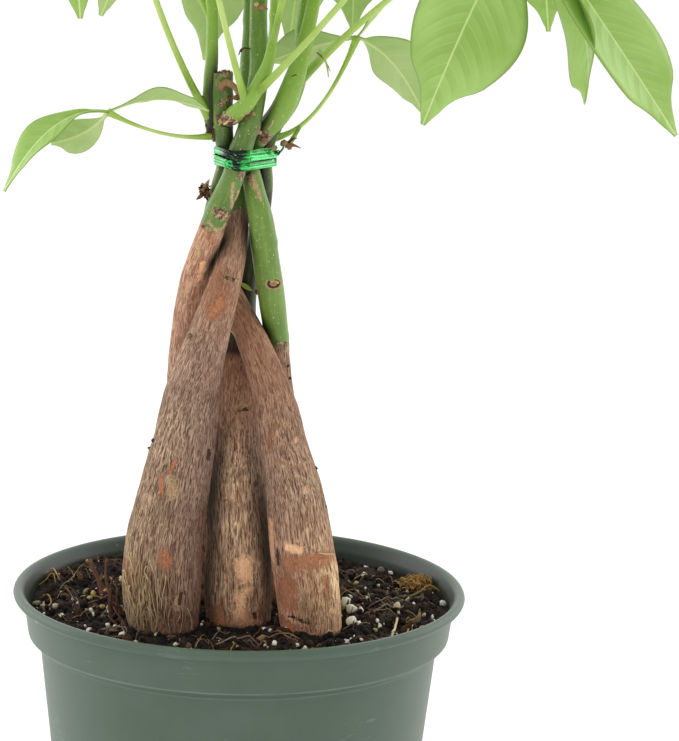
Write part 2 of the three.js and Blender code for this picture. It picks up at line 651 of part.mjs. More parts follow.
function layOutLeaves() {
  takeStems();
  const leaves = frontLeaves.map((entry, i) => ({
    name: `leaf_${entry.name}`, stem: entry.stem, from: entry.from, girth: entry.girth || usualGirth,
    hub: vector(entry.hub), bend: vector(entry.bend),
    blades: entry.blades.map((blade, j) => ({
      bend: vector(blade.bend), tip: vector(blade.tip), face: vector(blade.face), width: blade.width,
      shoulder: blade.shoulder || usualShoulder, phase: i + j * 2,
    })),
  }));
  canopyLeaves.forEach(([stem, from, x, y, z, count, length], i) => {
    const hub = new THREE.Vector3(x, y, z);
    const name = `leaf_canopy_${i + 1}`;
    leaves.push({ name, stem, from, girth: usualGirth, hub, count, length, blades: [] });
  });
  for (const leaf of leaves) {
    const curve = stemCurve(leaf.stem);
    const share = shareAt(curve, leaf.from);
    leaf.base = curve.point(share);
    leaf.swollen = Math.min(baseSwelling, 0.8 * curve.radius(share));
    leaf.azimuth = Math.atan2(leaf.hub.y - leaf.base.y, leaf.hub.x - leaf.base.x);
    if (!leaf.bend) {
      leaf.bend = leaf.base.clone().lerp(leaf.hub, 0.45);
      leaf.bend.z += 0.1 * leaf.base.distanceTo(leaf.hub);
      taken.push(...bendPetioleClear(leaf));
    } else {
      taken.push(...petiolePoints(leaf));
    }
  }
  for (const leaf of leaves) {
    for (const blade of leaf.blades) taken.push(...bladePoints(leaf, blade));
  }
  leaves.forEach((leaf, i) => {
    const random = seededRandom(101 + i * 17);
    for (let place = 0; place < (leaf.count || 0); place += 1) {
      const blade = growBlade(leaf, place, random);
      if (blade) leaf.blades.push(blade);
    }
  });
  return leaves;
}

const plant = new THREE.Group();

function addPiece(name, solid, colour, roughness) {
  const material = new THREE.MeshStandardMaterial({ color: colour, roughness, metalness: 0 });
  const mesh = new THREE.Mesh(toGeometry(solid), material);
  mesh.name = name;
  plant.add(mesh);
}

const trunkNames = Object.keys(stemLines).filter((name) => name.startsWith('trunk'));
const grown = Object.fromEntries(trunkNames.map((name) => [name, trunkSolid(name, seatGap)]));
const stemOwner = (stem) => trunkNames.find((name) => name === stem || (shootsOf[name] || []).includes(stem));

addPiece('pot', potSolid(), colours.pot, 0.55);
addPiece('soil', soilSolid(Object.values(grown)), colours.soil, 1);
trunkNames.forEach((name) => addPiece(name, trunkSolid(name, 0), colours.trunk, 0.8));
addPiece('twist_tie', tieSolid(), colours.tie, 0.25);
for (const leaf of layOutLeaves()) {
  const stations = leaf.count ? canopyBladeStations : frontBladeStations;
  const stalk = petioleSolid(leaf);
  const joined = leaf.blades.reduce((body, blade) => body.add(bladeSolid(leaf.hub, blade, stations)), stalk);
  addPiece(leaf.name, joined.subtract(grown[stemOwner(leaf.stem)]), colours.leaf, 0.5);
}

export default plant;
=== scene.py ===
import math
import random

import bpy
import numpy as np
from mathutils import Matrix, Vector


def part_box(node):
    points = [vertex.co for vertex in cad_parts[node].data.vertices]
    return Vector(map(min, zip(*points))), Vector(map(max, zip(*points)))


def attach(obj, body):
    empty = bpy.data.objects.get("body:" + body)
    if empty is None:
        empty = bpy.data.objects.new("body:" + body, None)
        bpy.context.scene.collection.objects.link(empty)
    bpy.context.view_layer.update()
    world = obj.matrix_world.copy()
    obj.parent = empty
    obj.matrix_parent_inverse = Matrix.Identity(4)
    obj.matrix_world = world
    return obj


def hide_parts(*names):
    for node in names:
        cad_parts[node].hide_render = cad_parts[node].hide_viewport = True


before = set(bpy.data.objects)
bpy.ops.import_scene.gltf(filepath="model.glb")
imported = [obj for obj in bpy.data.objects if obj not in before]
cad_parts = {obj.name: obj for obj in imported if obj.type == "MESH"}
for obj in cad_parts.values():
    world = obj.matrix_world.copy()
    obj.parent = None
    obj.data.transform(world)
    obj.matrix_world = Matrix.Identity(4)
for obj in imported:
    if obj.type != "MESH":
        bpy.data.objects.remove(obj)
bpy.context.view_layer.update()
print("frame loaded:", len(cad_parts), "nodes")

# Lengths below are millimetres, as in the CAD; meshes are turned to metres when they are made
metre = 0.001
soilLevel = 138


def vec(values):
    return np.asarray(values, float)


def unit(v):
    return v / np.maximum(np.linalg.norm(v, axis=-1, keepdims=True), 1e-9)


def lattice(x, y, z, seed):
    # a fixed number from -1 to 1 for each whole-numbered place
    h = (x * 374761393 + y * 668265263 + z * 1440662683 + seed * 1274126177) & 0xFFFFFFFF
    h = ((h ^ (h >> 13)) * 1274126177) & 0xFFFFFFFF
    return ((h ^ (h >> 16)) & 0xFFFF) / 32767.5 - 1


def lumps(points, size, seed):
    # smooth uneven field from -1 to 1 with lumps of the given size in mm
    p = vec(points) / size
    cell = np.floor(p).astype(np.int64)
    f = p - cell
    f = f * f * (3 - 2 * f)
    total = 0
    for dx in (0, 1):
        for dy in (0, 1):
            for dz in (0, 1):
                weight = (np.where(dx, f[..., 0], 1 - f[..., 0]) * np.where(dy, f[..., 1], 1 - f[..., 1])
                          * np.where(dz, f[..., 2], 1 - f[..., 2]))
                total = total + weight * lattice(cell[..., 0] + dx, cell[..., 1] + dy, cell[..., 2] + dz, seed)
    return total


def curvePoints(rows, shares):
    # the same uniform Catmull-Rom curve as in the CAD
    rows = vec(rows)
    place = np.clip(vec(shares), 0, 1) * (len(rows) - 1)
    first = np.minimum(place.astype(int), len(rows) - 2)
    w = (place - first)[..., None]
    padded = np.vstack([2 * rows[0] - rows[1], rows, 2 * rows[-1] - rows[-2]])
    a, b, c, d = (padded[first + k] for k in range(4))
    start, end = 0.5 * (c - a), 0.5 * (d - b)
    return b + start * w + (3 * (c - b) - 2 * start - end) * w ** 2 + (2 * (b - c) + start + end) * w ** 3


def bezier(a, b, c, t):
    t = vec(t)[..., None]
    return (1 - t) ** 2 * a + 2 * t * (1 - t) * b + t * t * c


def bezierTangent(a, b, c, t):
    t = vec(t)[..., None]
    return unit((1 - t) * (b - a) + t * (c - b))


def skin(rings, closed=True, capStart=True, capEnd=True):
    # quads through rings of equal length, with a fan over each capped end
    rings = vec(rings)
    rows, around = rings.shape[:2]
    points = rings.reshape(-1, 3)
    j = np.arange(around if closed else around - 1)
    k = (j + 1) % around
    i = (np.arange(rows - 1) * around)[:, None]
    faces = np.stack([i + j, i + k, i + k + around, i + j + around], -1).reshape(-1, 4).tolist()
    if closed and capStart:
        points = np.vstack([points, rings[0].mean(0)])
        faces += [[len(points) - 1, b, a] for a, b in zip(j.tolist(), k.tolist())]
    if closed and capEnd:
        points = np.vstack([points, rings[-1].mean(0)])
        last = (rows - 1) * around
        faces += [[len(points) - 1, last + a, last + b] for a, b in zip(j.tolist(), k.tolist())]
    return points, faces


def tubeRings(path, radii, around, roughness=0, seed=0):
    # rings square to a path; roughness is the share by which the radius wanders
    path = vec(path)
    tangent = unit(np.gradient(path, axis=0))
    guide = vec([0.31, 0.93, 0.2]) if abs(tangent[0][1]) < 0.8 else vec([0.93, 0.2, 0.31])
    side = unit(np.cross(tangent, guide))
    lift = np.cross(tangent, side)
    angle = np.arange(around) / around * 2 * math.pi
    radii = np.broadcast_to(vec(radii), (len(path),))
    spoke = side[:, None] * np.cos(angle)[None, :, None] + lift[:, None] * np.sin(angle)[None, :, None]
    rings = path[:, None] + spoke * radii[:, None, None]
    if roughness:
        size = max(0.4, float(radii.max()) * 0.9)
        rings = path[:, None] + spoke * (radii[:, None] * (1 + roughness * lumps(rings, size, seed)))[..., None]
    return rings


def tube(path, radii, around=8, roughness=0, seed=0):
    return skin(tubeRings(path, radii, around, roughness, seed))


def makePiece(name, shapes, materials, replaces=(), sharpAngle=None):
    # shapes: (points in mm, faces, material number, {vertex value name: numbers})
    points, faces, numbers, names = [], [], [], {}
    for shape in shapes:
        for key, value in shape[3].items():
            names[key] = 3 if np.ndim(value) == 2 else 1
    values = {key: [] for key in names}
    start = 0
    for shapePoints, shapeFaces, material, shapeValues in shapes:
        points.append(shapePoints)
        faces += [[v + start for v in face] for face in shapeFaces]
        numbers += [material] * len(shapeFaces)
        for key, size in names.items():
            value = shapeValues.get(key)
            count = len(shapePoints)
            if value is None:
                value = np.zeros((count, 3) if size == 3 else count)
            value = vec(value)
            if len(value) < count:  # cap centres take the last value
                value = np.concatenate([value, np.repeat(value[-1:], count - len(value), 0)])
            values[key].append(value)
        start += len(shapePoints)
    mesh = bpy.data.meshes.new(name)
    mesh.from_pydata((np.vstack(points) * metre).tolist(), [], faces)
    for material in materials:
        mesh.materials.append(material)
    mesh.polygons.foreach_set("material_index", numbers)
    mesh.polygons.foreach_set("use_smooth", [True] * len(mesh.polygons))
    for key, size in names.items():
        layer = mesh.attributes.new(key, "FLOAT_VECTOR" if size == 3 else "FLOAT", "POINT")
        layer.data.foreach_set("vector" if size == 3 else "value", np.concatenate(values[key]).ravel())
    if sharpAngle:
        mesh.set_sharp_from_angle(angle=math.radians(sharpAngle))
    mesh.update()
    piece = bpy.data.objects.new(name, mesh)
    bpy.context.scene.collection.objects.link(piece)
    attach(piece, "root")
    if replaces:
        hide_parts(*replaces)
    return piece


def linear(hexColour):
    parts = [int(hexColour[i:i + 2], 16) / 255 for i in (1, 3, 5)]
    return tuple(c / 12.92 if c <= 0.04045 else ((c + 0.055) / 1.055) ** 2.4 for c in parts) + (1.0,)


def feed(node, key, source):
    # gives a socket its constant or hex colour, or links another socket or a node's first output in use to it
    socket = node.inputs[key]
    if isinstance(source, bpy.types.Node):
        source = next(output for output in source.outputs if output.enabled)
    if isinstance(source, bpy.types.NodeSocket):
        node.id_data.links.new(source, socket)
    else:
        socket.default_value = linear(source) if isinstance(source, str) else source


def addNode(material, kind, values=None):
    # adds a shader node; values holds its properties, its colour stops and what feeds its sockets
    node = material.node_tree.nodes.new("ShaderNode" + kind)
    for key, value in (values or {}).items():
        if key == "stops":
            ramp = node.color_ramp
            while len(ramp.elements) < len(value):
                ramp.elements.new(0.5)
            for element, (place, colour) in zip(ramp.elements, value):
                element.position = place
                element.color = linear(colour)
        elif isinstance(key, str) and key not in node.inputs and hasattr(node, key):
            setattr(node, key, value)
        else:
            feed(node, key, value)
    return node


def newMaterial(name, values):
    # a material with its shader, and a short call that adds nodes to it
    material = bpy.data.materials.new(name)
    material.use_nodes = True
    material.node_tree.nodes.clear()

    def add(kind, values=None):
        return addNode(material, kind, values)

    shader = add("BsdfPrincipled", values)
    add("OutputMaterial", {"Surface": shader})
    return material, shader, add


cameraView = {"place": (0, -961.33, 421.39), "lens": 132.32, "pitch": 11.4437, "yaw": 2.041, "roll": 1.5871}


def placeCamera(view):
    pitch, yaw, roll = (math.radians(view[key]) for key in ("pitch", "yaw", "roll"))
    ahead = vec([math.sin(yaw) * math.cos(pitch), math.cos(yaw) * math.cos(pitch), -math.sin(pitch)])
    right = vec([math.cos(yaw), -math.sin(yaw), 0])
    down = np.cross(ahead, right)
    rightRolled = math.cos(roll) * right - math.sin(roll) * down
    downRolled = math.sin(roll) * right + math.cos(roll) * down
    data = bpy.data.cameras.new("camera")
    data.lens = view["lens"]
    data.sensor_width = 36
    camera = bpy.data.objects.new("camera", data)
    matrix = np.eye(4)
    matrix[:3, 0], matrix[:3, 1], matrix[:3, 2] = rightRolled, -downRolled, -ahead
    matrix[:3, 3] = vec(view["place"]) * metre
    camera.matrix_world = Matrix(matrix.tolist())
    bpy.context.scene.collection.objects.link(camera)
    bpy.context.scene.camera = camera


placeCamera(cameraView)

studio = {
    "dimSide": 0.6, "brightSide": 1.52,
    "lamps": [
        {"name": "key", "place": (-0.9, -1.1, 1.3), "aim": (0, 0, 0.25), "size": 1.0, "watts": 3.5},
        {"name": "left", "place": (-1.3, 0.5, 0.6), "aim": (0, 0, 0.1), "size": 1.0, "watts": 4.5},
        {"name": "right", "place": (1.3, 0.5, 0.6), "aim": (0, 0, 0.1), "size": 1.0, "watts": 4.5},
    ],
    "floorSize": 12000, "floorDrop": 0.5, "floorColour": "#fdfdfc", "floorShade": "#fafaf9",
}


def buildStudio(look):
    # a white tent, brighter behind the plant than in front of it
    world = bpy.data.worlds.new("studioTent")
    world.use_nodes = True
    background = world.node_tree.nodes["Background"]
    background.inputs["Color"].default_value = linear("#ffffff")
    direction = addNode(world, "SeparateXYZ", {0: addNode(world, "TexCoord").outputs["Generated"]})
    strength = addNode(world, "MapRange", {"From Min": -1.0, "To Min": look["dimSide"],
                                           "To Max": look["brightSide"], "Value": direction.outputs["Y"]})
    feed(background, "Strength", strength)
    bpy.context.scene.world = world
    for lamp in look["lamps"]:
        data = bpy.data.lights.new(lamp["name"], "AREA")
        data.size = lamp["size"]
        data.energy = lamp["watts"]
        lampObject = bpy.data.objects.new(lamp["name"], data)
        place = vec(lamp["place"])
        back = unit(place - vec(lamp["aim"]))
        side = unit(np.cross([0, 0, 1], back))
        matrix = np.eye(4)
        matrix[:3, 0], matrix[:3, 1], matrix[:3, 2], matrix[:3, 3] = side, np.cross(back, side), back, place
        lampObject.matrix_world = Matrix(matrix.tolist())
        bpy.context.scene.collection.objects.link(lampObject)
    # painted board floor: matt and pale, so it only lights the pot from below
    material, shader, add = newMaterial("mattPaintedBoard", {"Roughness": 0.9})
    place = add("TexCoord")
    grain = add("TexNoise", {"Scale": 40.0, "Detail": 2.0, "Vector": place.outputs["Object"]})
    stops = [(0.3, look["floorShade"]), (0.7, look["floorColour"])]
    feed(shader, "Base Color", add("ValToRGB", {"stops": stops, "Fac": grain}))
    half = look["floorSize"] / 2 * metre
    mesh = bpy.data.meshes.new("floor")
    corners = [(x * half, y * half, -look["floorDrop"] * metre)
               for x, y in ((-1, -1), (1, -1), (1, 1), (-1, 1))]
    mesh.from_pydata(corners, [], [(0, 1, 2, 3)])
    mesh.materials.append(material)
    floor = bpy.data.objects.new("floor", mesh)
    bpy.context.scene.collection.objects.link(floor)
    bpy.context.scene.view_settings.view_transform = "Standard"


buildStudio(studio)
print("studio ready")

pot = {
    "sides": 160, "edgeRounding": 0.7,
    "drainHoles": 8, "drainHoleRadius": 4.5, "drainCircleRadius": 44,
    "section": [
        (0, 0), (57, 0), (59, 1.5), (72.6, 126), (76.8, 129), (78.5, 141.6), (81.6, 142.2), (82.5, 144),
        (81.6, 145.7), (80.1, 146), (78.5, 144.6), (77, 141), (75.3, 130), (71.1, 127), (57.6, 3.6), (54, 2),
        (0, 2),
    ],
    # the edge colour is for the painted highlights on the step and lip, and the darkest green is painted shade
    # inside the pot
    "green": "#485a4b", "greenPale": "#506354", "scuff": "#7b8c7f", "fleck": "#9fae9d", "edge": "#92a397",
    "paintedInsideShade": "#141d14",
}


def pottingPlastic(look):
    # polypropylene, injection moulded: a matt skin with a faint sheen, paler where it has been rubbed
    material, shader, add = newMaterial("polypropyleneMoulded", {"IOR": 1.49, "Roughness": 0.42})
    place = add("TexCoord").outputs["Object"]
    cloud = add("TexNoise", {"Scale": 28.0, "Detail": 4.0, "Roughness": 0.6, "Vector": place})
    # pigment clouds about 35 mm wide
    tone = add("ValToRGB", {"stops": [(0.35, look["green"]), (0.7, look["greenPale"])], "Fac": cloud})
    # scuffs about 6 mm long and 1 mm tall
    drawn = add("Mapping", {"Scale": (160.0, 160.0, 900.0), "Vector": place})
    rub = add("TexNoise", {"Scale": 1.0, "Detail": 3.0, "Roughness": 0.7, "Distortion": 0.6, "Vector": drawn})
    where = add("TexNoise", {"Scale": 45.0, "Detail": 1.0, "Vector": place})
    rubbed = add("Math", {"operation": "MULTIPLY", 0: rub, 1: where})
    scuffed = add("MapRange", {"From Min": 0.36, "From Max": 0.5, "To Max": 0.4, "Value": rubbed})
    # pale flecks of dried lime, 1 mm across, on the band and lip
    cells = add("TexVoronoi", {"Scale": 170.0, "Vector": place})
    spot = add("MapRange", {"From Min": 0.13, "From Max": 0.08, "Value": cells})
    pick = add("SeparateColor", {0: cells.outputs["Color"]})
    height = add("SeparateXYZ", {0: place})
    up = add("MapRange", {"From Min": 0.132, "From Max": 0.146, "To Min": 1.0, "To Max": 0.72,
                          "Value": height.outputs["Z"]})
    chosen = add("Math", {"operation": "GREATER_THAN", 0: pick, 1: up})
    fleck = add("Math", {"operation": "MULTIPLY", 0: spot, 1: chosen})
    # painted highlights on the edges of the step: thin pale lines at 126 and 129 mm, and one under the lip
    level = add("MapRange", {"From Min": 0.12, "From Max": 0.15, "Value": height.outputs["Z"]})
    highlightLines = add("ValToRGB", {"stops": [(0.185, "#000000"), (0.205, "#a0a0a0"), (0.225, "#000000"),
                                       (0.292, "#000000"), (0.305, "#c8c8c8"), (0.322, "#000000"),
                                       (0.71, "#000000"), (0.735, "#707070"), (0.76, "#000000")], "Fac": level})
    edgeHighlight = add("Math", {"operation": "MULTIPLY", 0: highlightLines, 1: where})
    # the inside is darkened with painted shade
    inside = add("Attribute", {"attribute_name": "inside"})
    insideShade = add("Math", {"operation": "MULTIPLY", 1: 0.8, 0: inside.outputs["Fac"]})
    for amount, colour in ((scuffed, look["scuff"]), (fleck, look["fleck"]), (edgeHighlight, look["edge"]),
                           (insideShade, look["paintedInsideShade"])):
        tone = add("Mix", {"data_type": "RGBA", 0: amount, 6: tone, 7: colour})
    feed(shader, "Base Color", tone)
    grain = add("TexNoise", {"Scale": 1400.0, "Detail": 2.0, "Vector": place})
    feed(shader, "Roughness", add("MapRange", {"To Min": 0.36, "To Max": 0.52, "Value": cloud}))
    feed(shader, "Normal", add("Bump", {"Strength": 0.25, "Distance": 0.00012, "Height": grain}))
    return material


def roundedSection(section, cut):
    # every corner between the axis points is turned over a small radius
    points = [vec(p) for p in section]
    rounded = [points[0]]
    for before, here, after in zip(points, points[1:], points[2:]):
        toBefore, toAfter = before - here, after - here
        near = min(cut, np.linalg.norm(toBefore) * 0.42, np.linalg.norm(toAfter) * 0.42)
        a, c = here + unit(toBefore) * near, here + unit(toAfter) * near
        rounded += [a, (a + 2 * here + c) / 4, c]
    return rounded + [points[-1]]


def buildPot(look):
    section = roundedSection(look["section"], look["edgeRounding"])
    angle = np.arange(look["sides"]) / look["sides"] * 2 * math.pi
    rings = [np.stack([max(r, 0.01) * np.cos(angle), max(r, 0.01) * np.sin(angle), np.full_like(angle, z)], -1)
             for r, z in section]
    points, faces = skin(rings)
    top = int(np.argmax([z for _, z in section]))
    inside = np.array([min(1, max(0, (145.9 - z) / 1.4)) if k > top else 0 for k, (_, z) in enumerate(section)])
    values = {"inside": np.repeat(inside, look["sides"])}
    piece = makePiece("nursery_pot", [(points, faces, 0, values)], [pottingPlastic(look)], ["pot"], 40)
    drill = bpy.data.meshes.new("drill")
    drillPoints, drillFaces = [], []
    for i in range(look["drainHoles"]):
        turn = (i + 0.5) / look["drainHoles"] * 2 * math.pi
        centre = vec([math.cos(turn), math.sin(turn), 0]) * look["drainCircleRadius"]
        path = [centre + [0, 0, -2], centre + [0, 0, 4]]
        p, f = tube(path, look["drainHoleRadius"], 24)
        drillFaces += [[v + len(drillPoints) for v in face] for face in f]
        drillPoints += (p * metre).tolist()
    drill.from_pydata(drillPoints, [], drillFaces)
    drillObject = bpy.data.objects.new("drill", drill)
    bpy.context.scene.collection.objects.link(drillObject)
    cut = piece.modifiers.new("holes", "BOOLEAN")
    cut.object = drillObject
    cut.operation = "DIFFERENCE"
    cut.solver = "EXACT"
    bpy.context.view_layer.update()
    drilled = bpy.data.meshes.new_from_object(piece.evaluated_get(bpy.context.evaluated_depsgraph_get()))
    piece.modifiers.clear()
    piece.data = drilled
    bpy.data.objects.remove(drillObject)


buildPot(pot)
print("pot ready")

# Stems as in the CAD: rows of x, y, z and radius
stemLines = {
    "trunk_front_left": [
        [-25, -25, 121, 9.5], [-27.6, -27, 147, 13.5], [-27.5, -27, 166, 14], [-25.1, -26, 182, 13.1],
        [-21.3, -25, 202, 11.7], [-18.3, -25, 220, 10.2], [-14.6, -25.5, 236, 8.2], [-10.2, -25.5, 252, 6.7],
        [-6.4, -22.2, 265, 5.4], [-4.1, -15.2, 278, 4.4], [-3, -9.3, 291, 3.7], [-0.9, -8, 304, 3.3],
        [-1.1, -6.5, 317, 2.8], [-1.4, -3, 337, 2.3], [-0.8, -1, 352, 2.1], [-2, 3, 382, 2.1], [-6, 8, 412, 2],
        [-9, 11, 440, 1.8], [-11, 13, 462, 1.6],
    ],
    "trunk_back_left": [
        [-20.3, 12, 118, 10], [-22.2, 13, 140, 12.1], [-22.5, 12, 163, 11.3], [-21.3, 9, 186, 9.8],
        [-20.4, 3, 210, 8.3], [-20.5, -3, 232, 6.7], [-19.8, -7.5, 249, 5.7], [-17.6, -14, 263, 5.1],
        [-13.8, -21, 276, 4.6], [-9.6, -25, 289, 4.2], [-5.5, -24.8, 298.5, 3.9], [-3.7, -22.7, 305.8, 3.8],
        [-1.1, -22.9, 313.5, 3.7], [1.2, -21.4, 322, 3.6], [2.8, -18, 334, 3.3], [2.6, -15, 346, 3.1],
        [2.4, -13, 360, 3], [4, -10, 390, 2.8], [6, -8, 425, 2.5], [7, -7, 458, 2.1], [7, -6, 488, 1.7],
    ],
    "trunk_front_right": [
        [27, -27, 121, 9.5], [24.7, -28, 147, 11.2], [21.7, -28, 167, 11.6], [18.4, -27, 187, 10.5],
        [14.2, -25, 204.5, 9], [10.7, -22.3, 220, 7.4], [6, -17.8, 232.6, 6.3], [0.8, -11.4, 243.2, 5.4],
        [-4.6, -6.2, 252.7, 4.7], [-9.3, -4.4, 263, 4.1], [-12.8, -5.8, 274.8, 3.4], [-12, -13, 285.8, 3.1],
        [-9.9, -16.6, 295.2, 2.9], [-7.9, -16.9, 305, 2.8], [-8.9, -17.4, 313.5, 3.4], [-9.5, -17.5, 325, 3.6],
        [-9.6, -17.5, 334.2, 3.6],
    ],
    "trunk_back_right": [
        [17.7, 12, 118, 10.4], [16.8, 13, 140, 12], [15.7, 12, 164, 10.9], [14.4, 9, 187, 9],
        [12.9, 3, 209, 6.4], [11.9, -2.6, 227, 4.9], [11, -6.2, 240.5, 4.5], [9, -11, 255.6, 4.8],
        [6.7, -15.3, 269.5, 4.7], [4.9, -18.7, 282.7, 4.4], [2.2, -18, 294, 3.6], [0.2, -15.9, 305, 3.3],
        [3.6, -16, 312.5, 3.3], [10.6, -18.8, 321.4, 4], [15.2, -19, 333, 3.5], [18.5, -18, 345, 2.7],
        [21.5, -16, 360, 2.3], [27, -13, 385, 2.1], [31, -11, 410, 1.9], [33, -10, 434, 1.6],
    ],
    "trunk_middle": [
        [0.6, -18, 121, 9.5], [-0.6, -18, 145.4, 11.9], [-1, -16, 167, 11.6], [-2.1, -12, 188.3, 10.9],
        [-2.4, -7, 209, 9], [-2, -1, 228, 7], [-1.3, 3.4, 244, 5.2], [0.2, 3.2, 256.6, 3.9],
        [2.5, -1, 270.7, 3.4], [4.8, -7.8, 283.7, 3.1], [5.7, -10.6, 294.7, 3], [5.5, -10.8, 304.6, 2.8],
        [7.8, -8.9, 314, 2.9], [14, -4.5, 323, 3], [17, -1, 334, 3.2], [18.5, 2, 350, 2.7], [21, 7, 375, 2.3],
        [24, 12, 400, 1.9], [26, 15, 425, 1.6],
    ],
    "left_shoot": [
        [-10.4, -16.5, 311, 2.2], [-12.8, -15.8, 316, 2.4], [-13.9, -16, 323, 2.5], [-13.8, -17, 332, 2.4],
        [-13.4, -17, 342, 2.1], [-14, -16, 360, 1.9], [-17, -12, 385, 1.8], [-19, -9, 405, 1.5],
    ],
    "front_shoot": [
        [-9.3, -18, 317.5, 2.6], [-7, -23, 319.5, 2.7], [-4.1, -27.2, 322, 2.8], [-0.4, -28.4, 326, 2.8],
        [3.6, -27.5, 333, 2.5], [6.5, -27, 341, 1.9], [7.7, -25.5, 353, 1.5], [7, -24, 370, 1.5],
        [4, -24, 392, 1.4],
    ],
}
trunkNames = [name for name in stemLines if name.startswith("trunk")]
trunkShoots = {"trunk_front_right": ["left_shoot", "front_shoot"]}


def stemPoint(name, share):
    return curvePoints([row[:3] for row in stemLines[name]], share)


def stemRadius(name, share):
    return curvePoints([row[3:] for row in stemLines[name]], share)[..., 0]


def stemShare(name, height):
    low, high = 0.0, 1.0
    for _ in range(40):
        middle = (low + high) / 2
        if stemPoint(name, middle)[2] < height:
            low = middle
        else:
            high = middle
    return (low + high) / 2


# Where brown bark turns to green stem, how fresh the green is, and how much more above the tie
stemLook = {
    "trunk_front_left": {"greenFrom": 285, "fresh": 0.12, "crown": 0.1},
    "trunk_back_left": {"greenFrom": 282, "fresh": 0.1, "crown": 0.15},
    "trunk_front_right": {"greenFrom": 262, "fresh": 0.05, "crown": 0},
    "trunk_back_right": {"greenFrom": 238, "fresh": 0.35, "crown": 0.45},
    "trunk_middle": {"greenFrom": 236, "fresh": 0.3, "crown": 0.3},
    "left_shoot": {"greenFrom": 200, "fresh": 0.75, "crown": 0.1},
    "front_shoot": {"greenFrom": 200, "fresh": 0.1, "crown": 0.85},
}

# Tint of the bark by height: redness, golden strands, smoothness and paleness; the paleness is partly painted
# light that lifts trunk_middle against the braid's shade; the golden side is -1 for left
barkTint = {
    "trunk_front_left": [(135, 0.7, 0.3, 0, 1), (150, 0.5, 0.75, 0, 1.05), (168, 0.4, 0.5, 0, 1.1),
                         (190, 0.3, 0.3, 0, 1.15), (215, 0.2, 0.2, 0, 1.3), (240, 0.25, 0, 0.1, 1.4),
                         (258, 0.6, 0, 0.4, 1.35), (290, 0.3, 0, 0.4, 1.3)],
    "trunk_middle": [(135, 0.7, 0.35, 0.1, 1.7), (150, 0.55, 0.4, 0, 1.85), (175, 0.35, 0.35, 0, 1.85),
                     (196, 0.4, 0.25, 0, 1.8), (210, 0.7, 0.1, 0.3, 1.5), (236, 0.8, 0, 0.4, 1.3)],
    "trunk_front_right": [(135, 0.8, 0.4, 0.1, 2.4), (152, 0.75, 0.7, 0, 2.5), (168, 0.5, 0.4, 0.1, 1.9),
                          (190, 0.35, 0.3, 0, 1.3), (210, 0.5, 0.15, 0.15, 1.25), (235, 0.75, 0, 0.45, 1.25)],
    "trunk_back_left": [(140, 0.3, 0.3, 0, 1.1), (190, 0.3, 0, 0.2, 1.2), (232, 0.45, 0, 0.4, 1.5),
                        (256, 0.5, 0.1, 0.4, 1.8), (282, 0.55, 0.1, 0.5, 1.9)],
    "trunk_back_right": [(140, 0.5, 0.3, 0, 1.2), (200, 0.45, 0.1, 0.1, 1.3), (238, 0.4, 0.1, 0.2, 1.3)],
}
goldenSide = {"trunk_front_left": -1, "trunk_front_right": 1}

